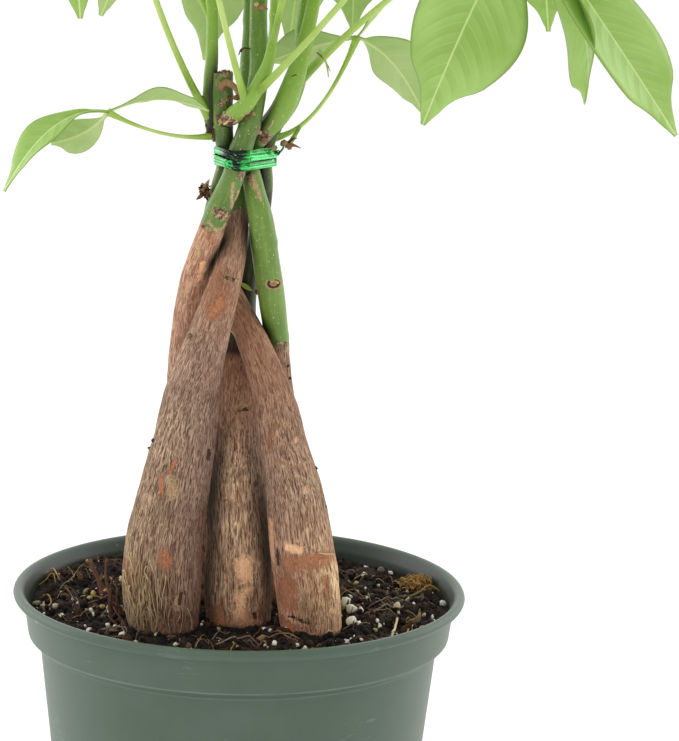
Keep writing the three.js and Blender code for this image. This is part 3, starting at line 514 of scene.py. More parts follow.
# Marks on the bark: kind, half width and the points that they run through
barkMarks = {
    "trunk_front_left": [
        ("red", 3.3, (-26.6, -40.4, 167.6), (-26.1, -40.6, 165.2)), ("tan", 1.3, (-21.8, -39.7, 161.6)),
        ("red", 1, (-38.8, -33.7, 160.6)), ("flake", 2.1, (-24.2, -38, 194.2), (-23.9, -38, 188.8)),
        ("red", 1.2, (-28.4, -36.5, 195), (-28, -36.9, 188.8)),
        ("red", 0.9, (-23.1, -37.1, 201.6), (-25.5, -37, 196.8)), ("tan", 0.9, (-34.8, -33.9, 182.9)),
        ("dark", 0.8, (-11.8, -31.3, 203.5), (-11.8, -31.3, 200.3)),
        ("tan", 1.9, (-21.4, -39.5, 152.4), (-22.2, -39.3, 148.2)),
        ("dark", 0.7, (-20.3, -39.4, 153.6), (-20.9, -39.3, 149.6)),
        ("rust", 4.4, (-9.6, -28, 264), (-10.4, -30.2, 254)),
        ("red", 2.4, (-11.8, -31, 252), (-8.6, -30.5, 256.4)), ("dry", 1.5, (-19.1, -29, 243.7)),
        ("dry", 1.1, (-7.4, -28, 264.4), (-3.6, -27, 263.2)),
        ("rust", 2.4, (-38.4, -32, 153), (-39.4, -31, 163)), ("rust", 2, (-31, -33, 222), (-29.6, -34, 214)),
    ],
    "trunk_middle": [
        ("flake", 0.7, (-4.6, -13.2, 215.2), (-0.6, -13.4, 216.2), (3.4, -12.7, 216.4)),
        ("dark", 0.7, (-2, -13.4, 214.4), (1.2, -13.4, 214.6)),
        ("tan", 3.8, (1.3, -27.7, 162.2), (1.6, -27.9, 157.6)),
        ("tan", 4.8, (1.6, -28.9, 149.5), (1.4, -28.9, 143)), ("rust", 4.4, (4, -28.5, 141), (-1, -29, 138)),
        ("net", 2.9, (5.8, -27.5, 149.6), (5.4, -27.5, 146.8)), ("red", 3, (-7.8, -26, 144), (-7, -27.5, 137)),
        ("tan", 1, (-5.3, -17.4, 204.2)), ("dark", 0.7, (5.2, -27.7, 143.6), (5.9, -27.5, 141.8)),
        ("rust", 1.4, (-8.6, -22, 168), (-8.9, -21, 160)), ("tan", 1.1, (-2.8, -22, 186), (-2.4, -22.8, 181)),
    ],
    "trunk_front_right": [
        ("rust", 1.3, (9.2, -32.3, 204.3), (9.5, -32.6, 208.8), (11.1, -31.8, 213.5)),
        ("tan", 1.2, (18.6, -31.7, 207.9)), ("rust", 1, (11.7, -33.8, 201.1), (19.5, -34.8, 198.3)),
        ("tan", 0.9, (22.1, -36.1, 192), (22.1, -36.1, 190.2)), ("red", 1, (13.7, -35.7, 190.5)),
        ("tan", 1.6, (10.4, -31.3, 178.5), (10.8, -32.2, 164.5)),
        ("tan", 2.1, (16.2, -38.2, 170.9), (20.6, -38.9, 170.2)),
        ("red", 4.1, (17.6, -38.6, 164.9), (30, -37.2, 166.6)),
        ("red", 4.4, (16.4, -37.2, 157.6), (17.2, -36.8, 149.8)),
        ("dark", 0.7, (17.5, -36.2, 145.2), (21, -37.6, 144.4), (24.6, -38.4, 143.1)),
        ("flake", 0.8, (21.5, -39.1, 156.4), (22.5, -39.2, 152.3), (21.7, -38.4, 148.1)),
        ("dark", 0.7, (12.6, -36, 168.6), (13, -36.3, 163.6)),
        ("red", 2.9, (14.4, -35.5, 142.6), (20, -37, 139.2)), ("dark", 0.8, (9.8, -31, 160), (9.9, -31, 146)),
        ("red", 1.8, (29.4, -36.2, 159.6), (31, -35, 152)), ("rust", 2.6, (-9.5, -20, 328), (-8, -20.5, 321)),
        ("dry", 1.4, (-5, -21, 327), (-10, -20, 324)), ("rust", 2.2, (-10, -20, 318), (-6, -22, 314)),
        ("dry", 1.6, (-9, -21, 317.4), (-5.6, -22, 318)),
    ],
    "trunk_back_left": [
        ("dry", 2.3, (-10.2, -27.8, 287.4), (-7.4, -28.4, 285.6)),
        ("flake", 0.8, (-13.2, -26.6, 283.6), (-10.6, -26.9, 280.9), (-8.4, -26.6, 281.4), (-6.2, -26.6, 284)),
        ("flake", 1.2, (-16.6, -24.2, 275.6), (-16.9, -24, 272.8)), ("flake", 0.8, (-17.8, -22.2, 270.5)),
        ("flake", 0.75, (-5.1, -28.5, 297.5), (-5.7, -27.8, 292.6), (-5.4, -26.2, 288.4)),
        ("flake", 0.7, (-3.4, -26.5, 295), (-3.9, -26, 291.2)), ("dry", 1.7, (-2.9, -27.3, 300.2)),
        ("flake", 0.7, (-22.5, -14.5, 258.5), (-22.6, -14.3, 254.5)), ("dry", 1, (-15, -25.8, 281.8)),
        ("dry", 1.2, (3, -23.7, 316.4), (3.2, -23.2, 314)),
        ("rust", 2.2, (-13.2, -26.4, 279), (-11.8, -26.8, 277)),
        ("tan", 1.6, (-15, -22.5, 268), (-16.4, -21.5, 262)),
    ],
    "trunk_back_right": [
        ("flake", 1.2, (1.6, -20.7, 298.8), (2.6, -21.2, 295)),
        ("flake", 0.8, (3.2, -21.3, 294.5), (4.4, -21.2, 291)),
        ("dry", 1.2, (0.2, -20, 300), (0.8, -20.3, 297)), ("rust", 0.8, (7.5, -19.6, 268.5)),
        ("dry", 1, (11.6, -9, 238.6), (14.6, -8.4, 237.8)),
        ("dry", 2.4, (4.4, -19.7, 313.6), (7.6, -20.5, 310.6)),
    ],
    "left_shoot": [("dry", 2.2, (-13.6, -17.8, 312.8), (-13.6, -17.8, 315.2))],
    "front_shoot": [("dry", 2.6, (-9, -24.6, 319.4), (-6, -26, 318.8)),
                    ("dry", 1.1, (-1.4, -29.5, 320.9), (1.6, -28.2, 322.4))],
}


def lineDistance(surface, points):
    # how far each place is from the line through the points; depth counts less, as the marks lie on the bark
    squash = vec([1, 0.35, 1])
    surface, points = surface * squash, vec(points) * squash
    nearest = np.linalg.norm(surface - points[0], axis=-1)
    for a, b in zip(points, points[1:]):
        share = np.clip(((surface - a) @ (b - a)) / ((b - a) @ (b - a)), 0, 1)[..., None]
        nearest = np.minimum(nearest, np.linalg.norm(surface - a - share * (b - a), axis=-1))
    return nearest


def stemFrame(name, fine, coarse):
    # places up a stem with the directions across it, closer together on the bark that is seen from near
    count = 2000
    path = stemPoint(name, np.linspace(0, 1, count))
    length = np.concatenate([[0], np.cumsum(np.linalg.norm(np.diff(path, axis=0), axis=1))])
    spacing = np.where(path[:, 2] < barkForm["fineBelow"], fine, coarse)
    order = np.concatenate([[0], np.cumsum(np.diff(length) / spacing[1:])])
    along = np.interp(np.linspace(0, order[-1], int(order[-1]) + 1), order, length)
    share = np.interp(along, length, np.linspace(0, 1, count))
    centre = stemPoint(name, share)
    back, ahead = (stemPoint(name, np.clip(share + step, 0, 1)) for step in (-0.002, 0.002))
    tangent = unit(ahead - back)
    across = unit(vec([1, 0, 0]) - tangent * tangent[:, :1])
    return along[:, None], share, centre, across, np.cross(tangent, across)


# Painted shade on the bark: how far it reaches from the soil and between stems, the braid's end and the darker
# middle trunk, also painted shade
shadeReach = {
    "low": 130, "high": 356, "rows": 91, "soilReach": 1.6, "soilShare": 0.8, "stemReach": 4.4, "middleReach": 7,
    "braidEnd": 352, "fade": 24, "middleShade": 0.74, "middleShadeFrom": (226, 6), "middleShadeTo": (300, 8),
}
# Lobes: share of the radius, number, turn per mm and start; bumps: height, size and seed; then the green joints
barkForm = {
    "lobes": [(0.026, 2, 0.021, 0), (0.018, 3, -0.034, 1.3)],
    "bumps": [(0.32, 7, 3), (0.22, 3.1, 5), (0.14, 1.5, 8)],
    "joint": 0.3, "jointSpacing": 38, "jointWidth": 1.6, "jointStart": 9,
    "fineBelow": 300, "crownFrom": (306, 20), "freshFrom": (340, 160),
}


def braidShade(name, surface):
    # painted shade: 1 where another trunk or the soil touches, falling off within a few millimetres
    heights = np.linspace(shadeReach["low"], shadeReach["high"], shadeReach["rows"])
    near = np.exp(-np.maximum(surface[..., 2] - soilLevel, 0) / shadeReach["soilReach"]) * shadeReach["soilShare"]
    reach = shadeReach["middleReach" if name == "trunk_middle" else "stemReach"]
    for other in [n for n in trunkNames if n != name]:
        shares = np.array([stemShare(other, height) for height in heights])
        x, y = (np.interp(surface[..., 2], heights, stemPoint(other, shares)[:, axis]) for axis in (0, 1))
        thickness = np.interp(surface[..., 2], heights, stemRadius(other, shares))
        gap = np.hypot(surface[..., 0] - x, surface[..., 1] - y) - thickness
        near = np.maximum(near, np.exp(-np.maximum(gap, 0) / reach))
    return near * np.clip((shadeReach["braidEnd"] - surface[..., 2]) / shadeReach["fade"], 0, 1)


def stemShape(name, around, fine, coarse):
    along, share, centre, across, lift = stemFrame(name, fine, coarse)
    angle = (np.arange(around) / around * 2 * math.pi)[None, :]
    radius = stemRadius(name, share)[:, None]
    height = centre[:, 2:3]
    strength = np.clip((radius - 4) / 6, 0, 1)
    lobes = sum(share * np.sin(count * angle + height * turn + start)
                for share, count, turn, start in barkForm["lobes"])
    radius = radius * (1 + strength * lobes)
    grain = np.stack([radius * np.cos(angle), radius * np.sin(angle), along + 0 * angle], -1)
    above = height - stemLook[name]["greenFrom"] + 0 * angle
    woody = np.clip(0.5 - above / 6, 0, 1)
    # low swellings and shallow ribs of bark, and the joints of the green stem
    stretched = grain * [1, 1, 0.4]
    bumps = sum(rise * lumps(stretched, size, seed) for rise, size, seed in barkForm["bumps"])
    fromJoint = np.mod(along + barkForm["jointStart"], barkForm["jointSpacing"]) - barkForm["jointSpacing"] / 2
    joints = barkForm["joint"] * np.exp(-(fromJoint / barkForm["jointWidth"]) ** 2)
    radius = radius + bumps * woody * np.clip(radius / 9, 0.35, 1)
    radius = radius + (joints + 0.05 * lumps(grain, 4, 9)) * (1 - woody)
    spoke = across[:, None] * np.cos(angle)[..., None] + lift[:, None] * np.sin(angle)[..., None]
    surface = centre[:, None] + spoke * radius[..., None]
    values = {kind: -np.ones(radius.shape) for kind in ("tan", "red", "rust", "dry", "flake", "dark")}
    raised = {"tan": -0.2, "red": -0.22, "rust": -0.12, "dry": 0.45, "flake": 0.2, "dark": -0.5}
    for kind, halfWidth, *points in barkMarks.get(name, []):
        mark = 1 - lineDistance(surface, points) / halfWidth
        if kind == "net":
            for rubbed in ("tan", "red", "rust"):
                values[rubbed] = np.minimum(values[rubbed], -mark)
        else:
            values[kind] = np.maximum(values[kind], np.maximum(mark, -1))
    for kind, rise in raised.items():
        surface = surface + spoke * (np.clip(values[kind] * 2.5, 0, 1) * rise)[..., None]
    rows = vec(barkTint.get(name, [(0, 0, 0, 1, 1)]))
    side = goldenSide.get(name, 0) * np.cos(angle)
    warm, gold, smooth, pale = (np.interp(height, rows[:, 0], rows[:, k]) + 0 * angle for k in (1, 2, 3, 4))
    gold = gold * np.clip(0.45 + 0.9 * side, 0, 1) if name in goldenSide else gold
    (crownFrom, crownRise), (freshFrom, freshRise) = barkForm["crownFrom"], barkForm["freshFrom"]
    fresh = stemLook[name]["fresh"] + stemLook[name]["crown"] * np.clip((height - crownFrom) / crownRise, 0, 1)
    # painted shade between stems and at the soil
    near = braidShade(name, surface)
    if name == "trunk_middle":  # painted shade where it shows between the other stems
        (start, rise), (end, fall) = shadeReach["middleShadeFrom"], shadeReach["middleShadeTo"]
        middleShade = shadeReach["middleShade"] * np.clip((height - start) / rise, 0, 1) * np.clip((end - height) / fall, 0, 1)
        near = np.maximum(near, middleShade + 0 * angle)
    values.update(warm=warm, gold=gold, smooth=smooth, pale=pale, above=above, near=near,
                  fresh=fresh + np.clip((height - freshFrom) / freshRise, 0, 0.5) + 0 * angle)
    if name == "trunk_front_right":
        # pruned top: the cut is dry and sunken, with a torn rim
        end = surface[-1]
        middle = end.mean(0)
        wood = []
        for spread, drop in ((0.98, 0.5), (0.86, 0.3), (0.7, -0.9), (0.42, -1.8), (0.16, -2.1)):
            ring = middle + (end - middle) * spread
            ring[:, 2] += drop + 0.6 * lumps(ring * [1, 1, 0], 1.3, 21)
            wood.append(ring)
        surface = np.concatenate([surface, wood])
        grow = len(wood)
        grain = np.concatenate([grain, np.repeat(grain[-1:], grow, 0)])
        values = {key: np.concatenate([v, np.repeat(v[-1:], grow, 0)]) for key, v in values.items()}
        values["dry"][-grow:] = 0.9
        values["dark"][-3:] = 0.9
        values["dry"][-grow - 3:-grow] = np.maximum(values["dry"][-grow - 3:-grow], 0.1)
    else:
        # growing point: the stem closes in a blunt bud
        closing = np.clip((surface[..., 2] - stemLines[name][-1][2] + 3) / 3, 0, 1)
        surface = centre[:, None] + (surface - centre[:, None]) * np.sqrt(1 - closing ** 2 * 0.9)[..., None]
    points, faces = skin(surface)
    flat = {key: v.reshape(-1) for key, v in values.items()}
    return points, faces, 0, {"grain": grain.reshape(-1, 3), **flat}


barkColours = {
    "ground": "#6d5042", "groundDeep": "#54392d", "groundWarm": "#7a4a38", "groundGold": "#533824",
    "strand": "#d8baa3", "strandWarm": "#d5a683", "strandGold": "#e4c694", "furrow": "#2b1b14",
    "calm": "#a07e6b", "calmDeep": "#7e5f4f", "calmWarm": "#a36a4d", "grey": "#b09a8b",
    "tan": "#deae87", "tanDeep": "#c3926d", "red": "#b8734f", "redDeep": "#8a5037", "redPale": "#cb8f68",
    "rust": "#ad7450", "rustDeep": "#8f5a3f", "flake": "#ccab81", "flakeDeep": "#a9855d", "crack": "#2b1a13",
    # the darkest colour here is the painted shade between stems and at the soil
    "scabDark": "#3f2a20", "scab": "#85624a", "scabPale": "#c6a881", "deep": "#150c07",
    "green": "#425e28", "greenPale": "#607f39", "greenFresh": "#93b84a", "pore": "#dcd893", "stripe": "#7e9c4c",
}


def barkMaterial(look):
    # money tree bark, as it grew: a net of fine raised strands, bare where it rubbed off, waxy green above
    material, shader, add = newMaterial("moneyTreeBark", {"IOR": 1.45})
    values = {name: add("Attribute", {"attribute_name": name}).outputs["Fac"]
              for name in ("tan", "red", "rust", "dry", "flake", "dark", "warm", "gold", "smooth", "pale",
                           "above", "fresh", "near")}
    grain = add("Attribute", {"attribute_name": "grain"}).outputs["Vector"]

    def drawnNoise(across, along, settings):
        # noise drawn out along the stem; across and along are its lumps per millimetre
        drawn = add("VectorMath", {"operation": "MULTIPLY", 1: (across, across, along), 0: grain})
        return add("TexNoise", {"Scale": 1.0, **settings, "Vector": drawn})

    def crests(field, width):
        # 1 on the line where the field passes its middle, falling to 0 beside it
        centred = add("Math", {"operation": "SUBTRACT", 1: 0.5, 0: field})
        off = add("Math", {"operation": "ABSOLUTE", 0: centred})
        return add("MapRange", {"From Min": width, "From Max": 0.012, "Value": off})

    # strands 0.5 mm apart, crossing every 6 mm, over a wider net 0.8 mm apart and furrows between
    fineNet = crests(drawnNoise(2.0, 0.17, {"Detail": 1.0, "Roughness": 0.5, "Distortion": 0.4}), 0.11)
    wideNet = crests(drawnNoise(1.2, 0.11, {"Detail": 2.0, "Roughness": 0.5, "Distortion": 0.6}), 0.06)
    net = add("Math", {"operation": "MAXIMUM", 0: fineNet, 1: wideNet})
    furrows = drawnNoise(1.6, 0.12, {"Detail": 2.0, "Roughness": 0.6, "Distortion": 0.5})
    hollow = add("MapRange", {"From Min": 0.5, "From Max": 0.36, "Value": furrows})
    mottle = add("TexNoise", {"Scale": 0.085, "Detail": 3.0, "Roughness": 0.6, "Vector": grain})
    pores = add("TexNoise", {"Scale": 1.3, "Detail": 3.0, "Roughness": 0.6, "Vector": grain})
    edge = add("TexNoise", {"Scale": 0.75, "Detail": 4.0, "Roughness": 0.75, "Vector": grain})
    rough = add("MapRange", {"To Min": 1.0, "To Max": 0.2, "Value": values["smooth"]})
    tints = {}
    for name, field, *stops, parts in (
            ("ground", mottle, (0.4, look["ground"]), (0.6, look["groundDeep"]), ("Warm", "Gold")),
            ("strand", mottle, (0.36, look["grey"]), (0.56, look["strand"]), ("Warm", "Gold")),
            ("calm", pores, (0.35, look["calmDeep"]), (0.62, look["calm"]), ("Warm",))):
        tints[name] = add("ValToRGB", {"stops": stops, "Fac": field})
        for part in parts:
            tints[name] = add("Mix", {"data_type": "RGBA", 0: values[part.lower()], 6: tints[name],
                                      7: look[name + part]})
    strength = add("MapRange", {"To Min": 0.75, "To Max": 0.95, "Value": values["gold"]})
    drift = add("TexNoise", {"Scale": 0.07, "Detail": 2.0, "Vector": grain})
    cover = add("MapRange", {"From Min": 0.36, "From Max": 0.58, "To Min": 0.45, "Value": drift,
                             "To Max": strength})
    stranded = add("Math", {"operation": "MULTIPLY", 0: net, 1: cover})
    calmAmount = add("Math", {"operation": "MULTIPLY", 1: 0.7, 0: values["smooth"]})
    sunk = add("Math", {"operation": "MULTIPLY", 0: hollow, 1: rough})
    shade = add("Math", {"operation": "MULTIPLY", 1: 0.4, 0: sunk})
    wood = tints["ground"]
    for amount, colour in ((stranded, tints["strand"]), (calmAmount, tints["calm"]), (shade, look["furrow"])):
        wood = add("Mix", {"data_type": "RGBA", 0: amount, 6: wood, 7: colour})

    def patch(name, softness, cover=1.0):
        # a mark's value with its edge broken up by noise
        broken = add("Math", {"operation": "MULTIPLY_ADD", 1: 2.6, 0: edge, 2: values[name]})
        return add("MapRange", {"From Min": 1.3, "From Max": 1.3 + softness, "To Max": cover, "Value": broken})

    worn = {}
    for name, cover, *stops in (
            ("tan", 0.75, (0.3, look["tanDeep"]), (0.58, look["tan"])),
            ("rust", 0.65, (0.3, look["rustDeep"]), (0.6, look["rust"])),
            ("red", 0.85, (0.3, look["redDeep"]), (0.5, look["red"]), (0.72, look["redPale"]))):
        worn[name] = patch(name, 0.5, cover)
        wood = add("Mix", {"data_type": "RGBA", 0: worn[name], 6: wood,
                           7: add("ValToRGB", {"stops": stops, "Fac": pores})})
        if name == "tan":
            wood = add("VectorMath", {"operation": "SCALE", 0: wood, 3: values["pale"]})
    # green stem with pale raised pores about 3 mm apart and faint stripes along it
    stem = add("ValToRGB", {"stops": [(0.35, look["green"]), (0.7, look["greenPale"])], "Fac": mottle})
    stripes = add("MapRange", {"From Min": 0.45, "From Max": 0.75, "To Max": 0.75,
                               "Value": drawnNoise(0.6, 0.06, {"Detail": 3.0, "Roughness": 0.65})})
    dotPlace = add("VectorMath", {"operation": "MULTIPLY", 1: (0.55, 0.55, 0.38), 0: grain})
    cells = add("TexVoronoi", {"Scale": 1.0, "Randomness": 1.0, "Vector": dotPlace})
    spot = add("MapRange", {"From Min": 0.15, "From Max": 0.07, "Value": cells})
    pick = add("SeparateColor", {0: cells.outputs["Color"]})
    chosen = add("Math", {"operation": "GREATER_THAN", 1: 0.5, 0: pick})
    dots = add("Math", {"operation": "MULTIPLY", 0: spot, 1: chosen})
    freckles = add("MapRange", {"From Min": 0.62, "From Max": 0.72, "To Max": 0.6, "Value": pores})
    dull = add("MapRange", {"From Min": 0.6, "From Max": 0.8, "To Max": 0.5, "Value": edge})
    for amount, colour in ((stripes, look["stripe"]), (values["fresh"], look["greenFresh"]),
                           (dots, look["pore"]), (freckles, look["pore"]), (dull, look["rustDeep"])):
        stem = add("Mix", {"data_type": "RGBA", 0: amount, 6: stem, 7: colour})
    border = add("Math", {"operation": "MULTIPLY_ADD", 1: 11.0, 0: edge, 2: values["above"]})
    green = add("MapRange", {"From Min": 4.8, "From Max": 6.2, "Value": border})
    flaky = add("ValToRGB", {"stops": [(0.35, look["flakeDeep"]), (0.55, look["flake"])], "Fac": pores})
    scabby = add("ValToRGB", {"stops": [(0.38, look["scabDark"]), (0.5, look["scab"]),
                                        (0.62, look["scabPale"])], "Fac": pores})
    # painted shade where stems press together and at the soil
    creviceShade = add("MapRange", {"From Min": 0.3, "From Max": 0.76, "To Max": 0.94, "Value": values["near"]})
    tone = wood
    for amount, colour in ((green, stem), (patch("flake", 0.35, 0.9), flaky), (patch("dry", 0.35), scabby),
                           (patch("dark", 0.15, 0.85), look["crack"]), (creviceShade, look["deep"])):
        tone = add("Mix", {"data_type": "RGBA", 0: amount, 6: tone, 7: colour})
    feed(shader, "Base Color", tone)
    feed(shader, "Roughness", add("MapRange", {"To Min": 0.86, "To Max": 0.4, "Value": green}))
    bare = add("Math", {"operation": "MAXIMUM", 0: worn["tan"], 1: worn["red"]})
    barer = add("Math", {"operation": "MAXIMUM", 0: bare, 1: green})
    covered = add("Math", {"operation": "SUBTRACT", 0: 1.0, 1: barer})
    relief = add("Math", {"operation": "MULTIPLY_ADD", 1: 0.6, 0: net, 2: pores})
    deeper = add("Math", {"operation": "SUBTRACT", 0: relief, 1: sunk})
    barkRelief = add("Math", {"operation": "MULTIPLY", 0: deeper, 1: covered})
    smoothed = add("Math", {"operation": "MULTIPLY", 0: barkRelief, 1: rough})
    raised = add("Math", {"operation": "MULTIPLY_ADD", 1: 0.25, 0: dots, 2: smoothed})
    feed(shader, "Normal", add("Bump", {"Strength": 0.8, "Distance": 0.0005, "Height": raised}))
    return material


bark = barkMaterial(barkColours)
for trunkName in trunkNames:
    stems = [stemShape(trunkName, 96, 1, 2)]
    stems += [stemShape(shoot, 32, 1.2, 1.2) for shoot in trunkShoots.get(trunkName, [])]
    makePiece("braided_" + trunkName, stems, [bark], [trunkName])
print("trunks ready")

# Small growths on the stems: threads and lumps and pointed scales, each with a tint from 0, dark, to 1, green
stemBits = {
    "threads": [
        # points, radius at the start and end, tint
        ([(-10, -20.6, 329), (-8.8, -22, 331.3), (-6.6, -23, 331), (-4.4, -23.8, 329), (-3.1, -24.4, 326)],
         1.35, 1.0, 0.4),
        ([(23.2, -24.5, 343.8), (24.9, -24.8, 341.5), (26.2, -25, 338), (26.8, -25.2, 334.4)], 0.5, 0.22, 0.86),
        ([(22.6, -24.4, 342.8), (25.4, -24.8, 340.2), (27.4, -25, 336.4)], 0.35, 0.14, 0.3),
        ([(-16.2, -17, 325.6), (-17.6, -17, 326.4), (-19.3, -17, 328.4)], 0.5, 0.12, 0.12),
        ([(11.4, -9, 309.4), (13.6, -10, 309.4), (15.6, -9, 311.4), (17.6, -7, 315)], 1.1, 0.7, 0.93),
        ([(12.6, -12, 308.8), (15.4, -12.2, 309.2), (18.2, -12.5, 308.2)], 1.0, 0.15, 0.35),
        ([(13.4, -12, 309.6), (15.4, -12, 311.4), (16.8, -12, 311.6)], 0.5, 0.12, 0.15),
        ([(-3.4, -15.4, 341.6), (-2.6, -16.6, 342.8), (-0.8, -17, 342.9), (0.8, -16.4, 342.3)], 0.36, 0.2,
         0.15),
        ([(-4.2, -14.6, 340.4), (-3.6, -15.4, 342.2), (-2.4, -16, 342.9)], 0.2, 0.3, 0.15),
        ([(0.6, -18.5, 356.6), (2.8, -19, 357.2), (5.4, -18, 356.6)], 0.5, 0.4, 0.42),
        ([(-7.6, -30.4, 250.6), (-5.6, -27, 246.4), (-3.4, -22, 242.4)], 0.12, 0.1, 0.6),
        ([(27.4, -38.6, 169), (30, -37.4, 168.4), (33, -34.8, 167.6)], 0.26, 0.2, 0.62),
        ([(9, -14.2, 306.2), (10.2, -14, 307.4), (10.8, -13.8, 306.6), (10, -13.8, 305.6)], 0.26, 0.22, 0.03),
        ([(-8.6, -26.4, 317.6), (-7.4, -27.6, 318.6), (-5.6, -27.8, 319.2), (-3.6, -28, 320.8)], 0.5, 0.3,
         0.62),
        ([(-10.6, -24.4, 316.8), (-9.6, -25, 318), (-8.2, -25.4, 318.2)], 0.35, 0.25, 0.72),
        ([(14, -21.9, 333.9), (15.3, -22.3, 334.6), (16.8, -21.8, 334.4)], 0.25, 0.2, 0.2),
        ([(6.5, -26.6, 316.2), (7.6, -26, 317.6), (8.2, -25, 319.2)], 0.3, 0.2, 0.55),
    ],
    "lumps": [
        # place, radius, tint
        ((-31.4, -27.6, 205.8), 0.8, 0.15), ((-33, -22.6, 201.8), 0.6, 0.15), ((-9, -14, 206.9), 1.1, 0.35),
        ((15.4, -6.2, 229.2), 0.7, 0.15), ((16.4, -4.8, 224.5), 0.6, 0.2), ((25.6, -28, 197.1), 0.8, 0.15),
        ((28.4, -28.9, 187.6), 0.6, 0.12), ((29.5, -29, 183.5), 0.6, 0.12), ((30.9, -30.5, 176), 0.6, 0.12),
        ((-15, -26, 281.8), 0.9, 0.3), ((-13.6, -18, 314.4), 1.1, 0.12), ((-14.6, -17.2, 313.2), 0.8, 0.4),
        ((-12.4, -18.4, 312.4), 0.9, 0.25), ((-14.8, -17.4, 316), 0.7, 0.1), ((-12, -18.6, 315.6), 0.6, 0.5),
        ((5.2, -20.4, 311.6), 1.1, 0.35), ((3.6, -20.6, 314.4), 0.8, 0.55), ((6.8, -20.8, 309.8), 0.9, 0.15),
        ((3.2, -21.8, 316.4), 0.7, 0.6), ((8.4, -20.2, 308.8), 0.8, 0.42), ((13.8, -12, 308.8), 1.3, 0.32),
        ((12.4, -12.4, 310), 1.1, 0.42), ((-8.2, -26.6, 319), 1, 0.35), ((-10, -25, 318.4), 0.9, 0.5),
        ((-6.8, -27.4, 318), 0.9, 0.2), ((-11, -22.6, 319.6), 0.9, 0.3), ((-7.4, -26.4, 320.8), 0.7, 0.75),
        ((-8.6, -25.6, 321.4), 0.6, 0.78), ((-5.4, -28, 319.8), 0.6, 0.1), ((-0.6, -29.4, 320.6), 0.8, 0.2),
        ((1.4, -28.4, 321.6), 0.7, 0.5), ((3.6, -18.6, 357.4), 1.2, 0.45), ((1.6, -18.8, 358.2), 0.9, 0.62),
        ((-38.9, -33.8, 160.6), 0.9, 0.38), ((-4.4, -24.6, 326.6), 1.2, 0.33),
    ],
    "scales": [
        # base, the way it points, length, width and tint
        ((-1.8, -3.4, 258.2), (0.82, -0.1, -0.5), 5.2, 1.7, 0.84),
        ((-1.4, -3.2, 257), (0.6, -0.3, -0.8), 3.6, 1.4, 0.1),
        ((3.4, -2.8, 256), (0.5, -0.3, -0.9), 2.6, 1.4, 0.2),
    ],
    # a withered bud on the left stem: middle and number of scales
    "bud": ((-14.6, -17.6, 293), 34),
    # leaf scar on the right stem: middle, half width and half height
    "scar": ((9.4, -17, 260.8), 2.7, 1.9),
    # wiry roots over the foot of a trunk: how many, from and to which x
    "rootFeet": [("trunk_front_left", 34, -42, -32), ("trunk_front_left", 14, -32, -18),
                 ("trunk_front_right", 12, 21, 34)],
}


def onStem(name, x, height):
    # the place on the front of a stem at a given x and height
    share = stemShare(name, height)
    centre, radius = stemPoint(name, share), float(stemRadius(name, share))
    off = float(np.clip(x - centre[0], -0.97 * radius, 0.97 * radius))
    return vec([centre[0] + off, centre[1] - math.sqrt(radius * radius - off * off), height])


def ball(seed, subdivisions):
    # a rough lump of unit size
    u = np.linspace(0, math.pi, subdivisions + 1)[1:-1]
    v = np.arange(subdivisions + 2) / (subdivisions + 2) * 2 * math.pi
    rings = [np.stack([math.sin(t) * np.cos(v), math.sin(t) * np.sin(v), np.full_like(v, -math.cos(t))], -1)
             for t in u]
    points, faces = skin(rings)
    points[-2], points[-1] = [0, 0, -1], [0, 0, 1]
    return points * (1 + 0.34 * lumps(points + seed * 7.3, 0.8, seed))[:, None], faces


def turned(points, dice):
    # the points turned to a random lie
    for axis in range(3):
        turn = dice.uniform(0, 2 * math.pi)
        b, c = (axis + 1) % 3, (axis + 2) % 3
        p, q = points[:, b].copy(), points[:, c].copy()
        points = points.copy()
        points[:, b] = p * math.cos(turn) - q * math.sin(turn)
        points[:, c] = p * math.sin(turn) + q * math.cos(turn)
    return points


def tinted(shape, tint):
    points, faces = shape
    return points, faces, 0, {"tint": np.full(len(points), float(tint))}


def scaleShape(base, ahead, length, width):
    # a dry pointed scale, cupped and curling outwards
    ahead = unit(vec(ahead))
    across = unit(np.cross(ahead, [0.2, -1, 0.15]))
    normal = np.cross(across, ahead)
    t = np.linspace(0, 1, 9)[:, None, None]
    angle = (np.arange(12) / 12 * 2 * math.pi)[None, :, None]
    half = width / 2 * np.sin(math.pi * (0.2 + 0.79 * t))
    rise = 0.14 * np.sin(angle) + 0.55 * half * np.cos(angle) ** 2 + 0.16 * length * t * t
    return skin(vec(base) + ahead * t * length + across * half * np.cos(angle) + normal * rise)


def pieceMaterial(name, roughness, stops, scale, bump, wander):
    # dry natural matter whose colour follows each bit's tint and wanders; each caller says what it is
    material, shader, add = newMaterial(name, {"Roughness": roughness, "IOR": 1.45})
    grain = add("TexNoise", {"Scale": scale, "Detail": 3.0, "Roughness": 0.65,
                             "Vector": add("TexCoord").outputs["Object"]})
    tint = add("Attribute", {"attribute_name": "tint"})
    drift = add("MapRange", {"From Min": 0.3, "From Max": 0.7, "To Min": -wander, "To Max": wander,
                             "Value": grain})
    both = add("Math", {"operation": "ADD", "use_clamp": True, 0: tint.outputs["Fac"], 1: drift})
    feed(shader, "Base Color", add("ValToRGB", {"stops": stops, "Fac": both}))
    feed(shader, "Normal", add("Bump", {"Strength": 0.8, "Distance": bump, "Height": grain}))
    return material


